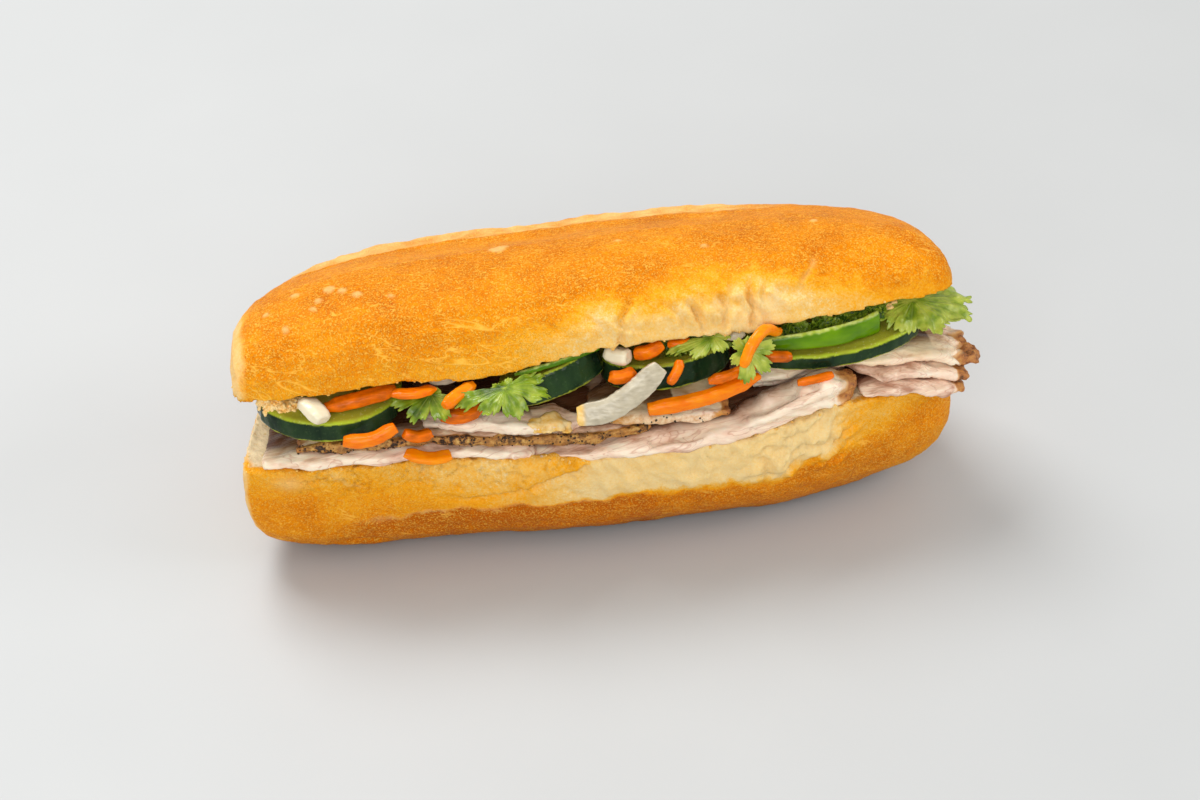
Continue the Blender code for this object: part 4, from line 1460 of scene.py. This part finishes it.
FAN = (Lobe(-92, 0.80), Lobe(-45, 1.0), Lobe(2, 1.0), Lobe(48, 0.98), Lobe(94, 0.80),
       Lobe(150, 0.42, 34), Lobe(-150, 0.42, 34))


@dataclass(frozen=True)
class Leaf:
    """One leaf: its base and turn, its reach sideways and ahead, and how its lobes hang."""

    name: str
    at: tuple[float, float, float]
    turn: tuple[float, float, float]
    reach: tuple[float, float]
    droop: float
    seed: int
    light: float = 0.0
    crimp: float = 0.8
    lobes: tuple[Lobe, ...] = FAN


@dataclass
class Coriander:
    """Leaves of coriander, each a thin blade of deep lobes with round teeth."""

    rings: int = 15
    around: int = 380
    thick: float = 0.30
    teeth: int = 7
    leaves: tuple[Leaf, ...] = (
        Leaf("leaf_left", (-45.8, -31.3, 57.8), (16, 4, -8), (11.0, 9.0), 2.2, 3, 0.04, 0.7,
             (Lobe(-74, 1.0, 27), Lobe(-26, 1.0, 26), Lobe(22, 0.95, 25), Lobe(66, 0.6, 24),
              Lobe(150, 0.2, 70))),
        Leaf("leaf_inner_left", (-27.0, -36.5, 61.0), (24, -4, 6), (13.5, 9.0), 3.0, 4, 0.14, 1.7,
             (Lobe(-90, 1.0, 27), Lobe(-40, 0.85, 27), Lobe(8, 0.95, 27), Lobe(58, 1.0, 27),
              Lobe(104, 0.9, 25), Lobe(160, 0.35, 36), Lobe(-150, 0.35, 36))),
        Leaf("leaf_tucked", (30.0, -30.5, 65.2), (14, -6, 0), (10.5, 6.5), 1.4, 5, 0.34, 0.7,
             (Lobe(-84, 1.25, 25), Lobe(-38, 1.0, 25), Lobe(10, 0.85, 27), Lobe(64, 0.5, 30),
              Lobe(-150, 0.35, 42))),
        Leaf("leaf_inner_right", (37.5, -37.4, 65.2), (58, 0, 8), (9.6, 9.6), 1.4, 6, 0.28, 0.8,
             (Lobe(-56, 0.62, 27), Lobe(-8, 1.0, 25), Lobe(38, 1.0, 24), Lobe(82, 0.92, 24),
              Lobe(140, 0.4, 40), Lobe(-130, 0.45, 40))),
        Leaf("leaf_right", (88.0, -20.0, 61.6), (7, 6, 14), (18.5, 13.5), 3.4, 7, 0.27, 1.3,
             (Lobe(-84, 0.80, 34), Lobe(-36, 0.82, 31), Lobe(12, 0.90, 30), Lobe(56, 1.04, 28),
              Lobe(96, 1.16, 25), Lobe(140, 1.02, 29), Lobe(-150, 0.5, 44))),
    )

    def outline(self, leaf: Leaf, angle: Array) -> tuple[Array, Array]:
        """How far the blade reaches at each angle, and how near each angle is to a vein.

        Args:
            leaf: the leaf.
            angle: the angles, in radians from straight ahead.

        Returns:
            The reach and the nearness, one number each for each angle.
        """
        reach, vein = np.full(len(angle), 0.26), np.zeros(len(angle))
        for number, lobe in enumerate(leaf.lobes):
            turned = (angle - math.radians(lobe.points_at) + math.pi) % (2 * math.pi) - math.pi
            share = turned / math.radians(lobe.half)
            body = lobe.length * (1 - 0.24 * share ** 2 - 0.46 * np.abs(share) ** 6)
            phase = 0.5 + 0.35 * math.sin(leaf.seed * 3.1 + number * 1.7)
            tooth = np.abs(np.sin(math.pi * (self.teeth * 0.5 * share + phase))) ** 0.7
            part = np.abs(np.sin(math.pi * (1.45 * share + 0.5))) ** 0.6
            edge = body * (0.74 + 0.15 * part + 0.11 * tooth)
            reach = np.where(np.abs(share) < 1.1, np.maximum(reach, edge), reach)
            vein = np.maximum(vein, bell(turned, 0.05) * (lobe.length > 0.45))
            for side in (-0.5, 0.5):
                vein = np.maximum(vein, 0.5 * bell(share - side, 0.09) * (lobe.length > 0.45))
        return reach, vein

    def blade(self, leaf: Leaf) -> Shape:
        """Makes one leaf's thin blade.

        Args:
            leaf: its place, size, lobes and seed.

        Returns:
            The closed blade, with its light and vein marks.
        """
        angle = np.arange(self.around) * 2 * math.pi / self.around
        reach, vein_line = self.outline(leaf, angle)
        grain = Grain(leaf.seed)
        points, light, vein = [np.array([[0.0, 0.0, 0.0]])], [np.array([0.3])], [np.array([0.6])]
        for ring in range(1, self.rings + 1):
            share = (ring / self.rings) ** 0.85
            x, y = reach * share * np.sin(angle), -reach * share * np.cos(angle)
            flat = np.column_stack((x * leaf.reach[0], y * leaf.reach[1], 0 * x))
            bend = -leaf.droop * (x * x + y * y)
            ruffle = leaf.crimp * share ** 2 * (0.15 * np.cos(angle * 11 + leaf.seed)
                                                + 1.3 * grain.rough(flat, 4.4, 2))
            keel = -0.25 * leaf.crimp * vein_line * (1 - share) * share * 2
            flat[:, 2] = bend + ruffle + keel
            points.append(flat)
            light.append(0.20 * share + 0.34 * grain.rough(flat, 3.4, 2))
            vein.append(vein_line * (1 - 0.85 * share))
        blade = np.concatenate(points)
        turn = np.array(Euler([math.radians(a) for a in leaf.turn]).to_matrix())
        top = (blade + [0, 0, self.thick / 2]) @ turn.T + leaf.at
        low = (blade - [0, 0, self.thick / 2]) @ turn.T + leaf.at
        shape = Shape.of_faces(np.concatenate((top, low)), disc_faces(self.rings, self.around))
        light, vein = np.concatenate(light) + leaf.light, np.clip(np.concatenate(vein), 0, 1)
        return shape.mark(light=np.tile(light, 2), vein=np.tile(0.4 * vein, 2))

    def build(self, finish: Material) -> list[Object]:
        """Makes every leaf."""
        return [self.blade(leaf).done(leaf.name + "_blade", finish, "coriander", leaf.name)
                for leaf in self.leaves]


# ---------------------------------------------------------------- bits, sauces and tucked herbs

@dataclass(frozen=True)
class PlainFinish:
    """A finish of two cloudy tones."""

    name: str
    dark: Colour
    light: Colour
    grain: float = 1.5
    roughness: float = 0.35

    def make(self) -> Material:
        """The material."""
        r = Recipe(self.name)
        tone = r.noise(self.grain, 3, rough=0.6)
        colour = r.ramp(tone, (0.38, self.dark), (0.62, self.light))
        r.relief(tone, 0.3, 0.9)
        return r.finish(colour, self.roughness, Soft(0.08, (1.0, 0.6, 0.3), 1.0), 0.3)


FULL_TURN = (6.28, 6.28, 6.28)


def lump(seed: int, squash: float = 1.0, uneven: float = 0.42) -> Object:
    """An uneven lump about a millimetre in radius, to be strewn about."""
    work = bmesh.new()
    bmesh.ops.create_icosphere(work, subdivisions=2, radius=1.0)
    points = np.array([v.co for v in work.verts])
    points *= (1 + uneven * Grain(seed).rough(points, 0.9, 2))[:, None] * [1, 1, squash]
    for vertex, point in zip(work.verts, points * MM):
        vertex.co = point
    mesh = bpy.data.meshes.new("lump")
    work.to_mesh(mesh)
    work.free()
    return put("lump", mesh)


@dataclass(frozen=True)
class Scatter:
    """Small bits strewn over a piece, as thickly as one of its marks says.

    density counts bits on each square millimetre, and the sizes are the bits' radii.
    """

    name: str
    mark: str
    density: float
    smallest: float
    largest: float
    seed: int = 1

    def tree(self) -> bpy.types.NodeTree:
        """The node tree that strews the bits."""
        tree = bpy.data.node_groups.new(self.name, "GeometryNodeTree")
        kinds = {"Geometry": "Geometry", "Bit": "Object", "Density": "Float", "Smallest": "Float",
                 "Largest": "Float", "Seed": "Int", "Finish": "Material"}
        for name, kind in kinds.items():
            tree.interface.new_socket(name, in_out="INPUT", socket_type="NodeSocket" + kind)
        tree.interface.new_socket("Geometry", in_out="OUTPUT", socket_type="NodeSocketGeometry")

        def step(kind: str, feeds: dict[str, Socket], **settings: object) -> bpy.types.Node:
            """Adds a node and joins its sockets."""
            node = tree.nodes.new(kind)
            for name, value in settings.items():
                setattr(node, name, value)
            for name, socket in feeds.items():
                open_to = [s for s in node.inputs if s.name == name and s.enabled]
                tree.links.new(socket, open_to[0])
            return node

        given = tree.nodes.new("NodeGroupInput").outputs
        share = step("GeometryNodeInputNamedAttribute", {}, data_type="FLOAT")
        share.inputs["Name"].default_value = self.mark
        thick = tree.nodes.new("ShaderNodeMath")
        thick.operation = "MULTIPLY"
        tree.links.new(share.outputs["Attribute"], thick.inputs[0])
        tree.links.new(given["Density"], thick.inputs[1])
        spots = step("GeometryNodeDistributePointsOnFaces", {
            "Mesh": given["Geometry"], "Density": thick.outputs[0], "Seed": given["Seed"]})
        bit = step("GeometryNodeObjectInfo", {"Object": given["Bit"]})
        size = step("FunctionNodeRandomValue", {"Min": given["Smallest"], "Max": given["Largest"],
                                                "Seed": given["Seed"]}, data_type="FLOAT")
        angle = step("FunctionNodeRandomValue", {"Seed": given["Seed"]}, data_type="FLOAT_VECTOR")
        angle.inputs["Max"].default_value = FULL_TURN
        turn = step("FunctionNodeEulerToRotation", {"Euler": angle.outputs["Value"]})
        strewn = step("GeometryNodeInstanceOnPoints",
                      {"Points": spots.outputs["Points"], "Instance": bit.outputs["Geometry"],
                       "Rotation": turn.outputs["Rotation"], "Scale": size.outputs["Value"]})
        real = step("GeometryNodeRealizeInstances", {"Geometry": strewn.outputs["Instances"]})
        dressed = step("GeometryNodeSetMaterial", {"Geometry": real.outputs["Geometry"],
                                                   "Material": given["Finish"]})
        out = tree.nodes.new("NodeGroupOutput")
        tree.links.new(dressed.outputs["Geometry"], out.inputs["Geometry"])
        return tree

    def over(self, base: Object, bit: Object, finish: Material) -> Object:
        """Strews the bits.

        Args:
            base: the piece they lie on.
            bit: one bit around its own origin, used up here.
            finish: the bits' material.

        Returns:
            All the bits as one finished piece.
        """
        holder = put("holder", base.data)
        tree = self.tree()
        nodes = holder.modifiers.new("scatter", "NODES")
        nodes.node_group = tree
        values = {"Bit": bit, "Density": self.density / MM ** 2, "Smallest": self.smallest,
                  "Largest": self.largest, "Seed": self.seed, "Finish": finish}
        for item in tree.interface.items_tree:
            if item.in_out == "INPUT" and item.name in values:
                nodes[item.identifier] = values[item.name]
        mesh = made_by(holder)
        bpy.data.objects.remove(bit)
        return Shape(mesh).done(self.name, finish)


@dataclass(frozen=True)
class Dab:
    """A spot of sauce: where it is, how far up it starts to fall, its radius and its height."""

    x: float
    y: float
    above: float
    radius: float
    height: float


@dataclass
class Sauce:
    """Dabs of sauce that lie draped over what is under them."""

    name: str
    dabs: tuple[Dab, ...]
    rings: int = 9
    around: int = 40
    sag: float = 1.6
    clear: float = 0.03
    sunk: float = 0.25

    def drape(self, dab: Dab, number: int, under: BVHTree) -> Array:
        """The points of one dab, draped over a surface: its top sheet, then its bottom one."""
        angle = np.arange(self.around) * 2 * math.pi / self.around
        grain = Grain(number + 3)
        way = np.column_stack((np.cos(angle), np.sin(angle), 0 * angle))
        edge = dab.radius * (1 + 0.38 * grain.rough(way, 0.8, 2))
        flat, dome = [np.zeros((1, 2))], [np.ones(1)]
        for ring in range(1, self.rings + 1):
            share = ring / self.rings
            flat.append(way[:, :2] * (edge * share)[:, None])
            dome.append(np.full(self.around, math.sqrt(1 - share ** 2)))
        flat, dome = np.concatenate(flat) + [dab.x, dab.y], np.concatenate(dome)
        hits = [under.ray_cast(Vector(place([x, y, dab.above])), Vector((0, 0, -1)))[0]
                for x, y in flat]
        floor = np.array([np.nan if hit is None else hit.z / MM for hit in hits])
        lowest, highest = np.nanmedian(floor) - self.sag, np.nanmedian(floor) + self.sag
        floor = np.clip(np.where(np.isnan(floor), lowest, floor), lowest, highest)
        uneven = 1 + 0.15 * grain.at(np.column_stack((flat, floor)), 1.8)
        top = floor + dab.height * dome * uneven + self.clear
        return np.concatenate((np.column_stack((flat, top)),
                               np.column_stack((flat, floor - self.sunk))))

    def build(self, grounds: Sequence[Object], finish: Material) -> Object:
        """Makes all the dabs as one piece.

        Args:
            grounds: the pieces that they lie on.
            finish: the sauce's finish.

        Returns:
            The finished piece, with the mark "on" all over.
        """
        spots, corners = [], []
        for ground in grounds:
            ground.data.calc_loop_triangles()
            start = len(spots)
            spots += [v.co.copy() for v in ground.data.vertices]
            corners += [tuple(start + v for v in t.vertices) for t in ground.data.loop_triangles]
        under, faces = BVHTree.FromPolygons(spots, corners), disc_faces(self.rings, self.around)
        parts = [(self.drape(dab, number, under), faces) for number, dab in enumerate(self.dabs)]
        return Shape.of_parts(parts).done(self.name, finish)


@dataclass(frozen=True)
class Strip:
    """A crumpled strip of herb: its upper line through (x, y, z) points, and how far it hangs."""

    line: tuple[tuple[float, float, float], ...]
    hang: float = 4.0


@dataclass
class TuckedHerbs:
    """Dark herbs pushed in under the crown: a crumpled strip with flakes all over it."""

    steps: int = 40
    rows: int = 6
    thick: float = 0.5
    flakes: Scatter = Scatter("herb_flakes", "on", 0.32, 0.16, 0.30, 4)
    strips: tuple[Strip, ...] = (
        Strip(((48, -25.5, 60.8), (60, -25.5, 62.6), (70, -25.0, 64.2), (78.5, -24.5, 65.0))),
        Strip(((18, -26.5, 61.8), (26, -26.5, 63.6), (34, -26.0, 64.6))),
    )

    def strip_up(self, strip: Strip, seed: int) -> tuple[Array, Faces]:
        """The points and faces of one closed strip."""
        line = np.array(strip.line)
        x = np.linspace(line[0, 0], line[-1, 0], self.steps)
        y, z = np.interp(x, line[:, 0], line[:, 1]), np.interp(x, line[:, 0], line[:, 2])
        grid = np.stack([np.column_stack((x, y - 0.36 * drop, z - drop))
                         for drop in np.linspace(0, strip.hang, self.rows)],
                        axis=1).reshape(-1, 3)
        wave = Grain(seed).rough(grid, (4.0, 9.0, 3.0), 3)
        front = grid + np.column_stack((0 * wave, 1.1 * wave, 0.5 * wave))
        back = front + [0, self.thick, 0]
        rows, count, faces = self.rows, len(grid), []
        for i in range(self.steps - 1):
            for j in range(rows - 1):
                a = i * rows + j
                face = (a, a + 1, a + rows + 1, a + rows)
                faces += [face, tuple(count + v for v in reversed(face))]
        last = count - rows
        around = [*range(rows), *range(2 * rows - 1, count, rows),
                  *range(count - 2, last - 1, -1), *range(last - rows, 0, -rows)]
        for a, b in zip(around, around[1:] + around[:1]):
            faces.append((b, a, count + a, count + b))
        return np.concatenate((front, back)), faces

    def build(self, finish: Material) -> list[Object]:
        """Makes the strips and their flakes."""
        shape = Shape.of_parts([self.strip_up(strip, seed)
                                for seed, strip in enumerate(self.strips, 20)])
        every = np.ones(len(shape.points))
        strip = shape.mark(light=-0.35 * every, vein=0 * every).done("herb_strips", finish)
        small = Coriander(rings=4, around=60, teeth=2)
        leaf = Leaf("flake", tuple(MIDDLE), (0, 0, 0), (11.0, 9.0), 3.0, 11, -0.05, 2.2)
        flake = put("flake", small.blade(leaf).mesh)
        return [strip, self.flakes.over(strip, flake, finish)]


# ---------------------------------------------------------------- the setting

@dataclass(frozen=True)
class Lamp:
    """A square soft light that faces the sandwich: where it hangs and its side, in metres, and
    its power in watts."""

    name: str
    spot: tuple[float, float, float]
    size: float
    power: float

    def hang(self) -> None:
        """Puts the light in place."""
        light = bpy.data.lights.new(self.name, "AREA")
        light.size, light.energy = self.size, self.power
        lamp = put(self.name, light)
        lamp.location = self.spot
        lamp.rotation_euler = Vector(self.spot).to_track_quat("Z", "Y").to_euler()


@dataclass
class Setting:
    """A pale floor, soft light and the camera.

    azimuth and elevation are in degrees, stand is the camera's place in the layout frame, lens
    and sensor are its sizes in millimetres, and sees is its nearest and farthest, in metres.
    """

    azimuth: float = -11.0
    elevation: float = 38.0
    stand: tuple[float, float, float] = (-114.1, -615.3, 513.9)
    lens: float = 85.0
    sensor: float = 36.0
    sees: tuple[float, float] = (0.01, 20.0)
    floor_reach: float = 4000.0
    floor_dark: Colour = rgb(0.49, 0.502, 0.505)
    floor_light: Colour = rgb(0.50, 0.512, 0.515)
    sky: Colour = rgb(1.0, 0.975, 0.94)
    sky_strength: float = 0.54
    lamps: tuple[Lamp, ...] = (
        Lamp("key", (-0.40, 0.60, 1.20), 0.7, 15.5),
        Lamp("front", (-0.5, -1.4, 0.9), 1.0, 13.5),
        Lamp("side", (1.3, -0.4, 0.8), 0.8, 6.5),
    )

    def floor(self) -> None:
        """A plain pale floor."""
        mesh = bpy.data.meshes.new("floor")
        far = self.floor_reach
        corners = [(-far, -far, 0), (far, -far, 0), (far, far, 0), (-far, far, 0)]
        mesh.from_pydata(place(corners).tolist(), [], [(0, 1, 2, 3)])
        r = Recipe("floor")
        colour = r.ramp(r.noise(60, 2), (0.3, self.floor_dark), (0.7, self.floor_light))
        mesh.materials.append(r.finish(colour, 0.55))
        floor = put("floor", mesh)

    def camera(self) -> None:
        """The camera, looking down at the open front."""
        lens = bpy.data.cameras.new("camera")
        lens.lens, lens.sensor_width = self.lens, self.sensor
        lens.clip_start, lens.clip_end = self.sees
        camera = put("camera", lens)
        a, e = math.radians(self.azimuth), math.radians(self.elevation)
        back = Vector((math.sin(a) * math.cos(e), -math.cos(a) * math.cos(e), math.sin(e)))
        right = Vector((math.cos(a), math.sin(a), 0))
        turn = Matrix((right, back.cross(right), back)).transposed()
        camera.matrix_world = Matrix.Translation(place(self.stand)) @ turn.to_4x4()
        bpy.context.scene.camera = camera

    def build(self) -> None:
        """Sets everything up."""
        self.floor()
        self.camera()
        for lamp in self.lamps:
            lamp.hang()
        world = bpy.data.worlds.new("room")
        world.use_nodes = True
        sky = world.node_tree.nodes["Background"]
        sky.inputs["Color"].default_value = self.sky
        sky.inputs["Strength"].default_value = self.sky_strength
        bpy.context.scene.world = world
        bpy.context.scene.view_settings.view_transform = "Standard"


EGG = PlainFinish("egg", rgb(0.98, 0.56, 0.14), rgb(1.0, 0.80, 0.42), 1.2, 0.45)
SAUCE = PlainFinish("sauce", rgb(0.86, 0.46, 0.07), rgb(0.90, 0.68, 0.33), 3.0, 0.22)
PEPPER = PlainFinish("pepper", rgb(0.02, 0.012, 0.006), rgb(0.07, 0.035, 0.014), 0.4, 0.5)
CRUMBS = PlainFinish("crumbs", rgb(0.80, 0.42, 0.06), rgb(0.90, 0.62, 0.20), 1.0, 0.6)

EGG_SPREAD = Sauce("egg_spread", (
    Dab(-86.6, -23.6, 62, 2.6, 1.7), Dab(-83.6, -24.6, 62, 2.4, 1.6),
    Dab(-80.6, -24.0, 62, 1.9, 1.3), Dab(-88.2, -20.6, 62, 2.2, 1.8)))
SAUCE_DABS = Sauce("sauce_dabs", (
    Dab(-18.6, -34.6, 56, 2.4, 0.5), Dab(-14.4, -33.6, 56, 3.4, 0.8),
    Dab(-10.6, -34.9, 56, 1.7, 0.4)))
LEAF_CRUMBS = Sauce("leaf_crumbs", (
    Dab(80.6, -22.2, 68, 1.3, 0.7), Dab(82.6, -20.4, 68, 0.9, 0.5)))


def dress(bread: Object, pork: Sequence[Object], cucumber: Sequence[Object],
          leaves: Sequence[Object]) -> None:
    """Adds sauce, egg, pepper and crumbs.

    Args:
        bread: the roll.
        pork: the slices of pork.
        cucumber: the slices of cucumber.
        leaves: the coriander leaves.
    """
    meat = {piece.name: piece for piece in pork}
    egg, sauce = EGG.make(), SAUCE.make()
    base = EGG_SPREAD.build([cucumber[0]], egg)
    Scatter("egg_crumbs", "on", 1.0, 0.35, 0.85, 2).over(base, lump(31, 0.7), egg)
    under = [meat[f"pork_{which}_meat"] for which in ("pale", "crusted", "edge")]
    SAUCE_DABS.build(under, sauce)
    LEAF_CRUMBS.build([leaves[-1]], egg)
    pepper = PEPPER.make()
    for name, density in (("pork_crusted", 0.28), ("pork_edge", 0.5)):
        Scatter(name + "_pepper", "roast", density, 0.12, 0.34, 3).over(
            meat[name + "_meat"], lump(32), pepper)
    Scatter("lip_crumbs", "lip", 0.10, 0.20, 0.50, 5).over(bread, lump(33, 0.8), CRUMBS.make())


def main() -> None:
    """Builds the sandwich piece by piece, and then its setting."""
    logging.basicConfig(level=logging.INFO, format="%(name)s %(message)s", stream=sys.stdout)
    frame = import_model()
    nodes = frame["nodes"]
    bread = Bread().build(nodes["bread"], CrustFinish().make())
    pork = RoastPork().build(nodes, PorkFinish().make())
    cucumber = Cucumber().build(nodes, CucumberFinish().make())
    Chilli().build(nodes, ChilliFinish().make())
    CARROTS.build(nodes)
    DAIKON.build(nodes)
    green = LeafFinish().make()
    leaves = Coriander().build(green)
    TuckedHerbs().build(green)
    dress(bread, pork, cucumber, leaves)
    Setting().build()


if __name__ == "__main__":
    main()
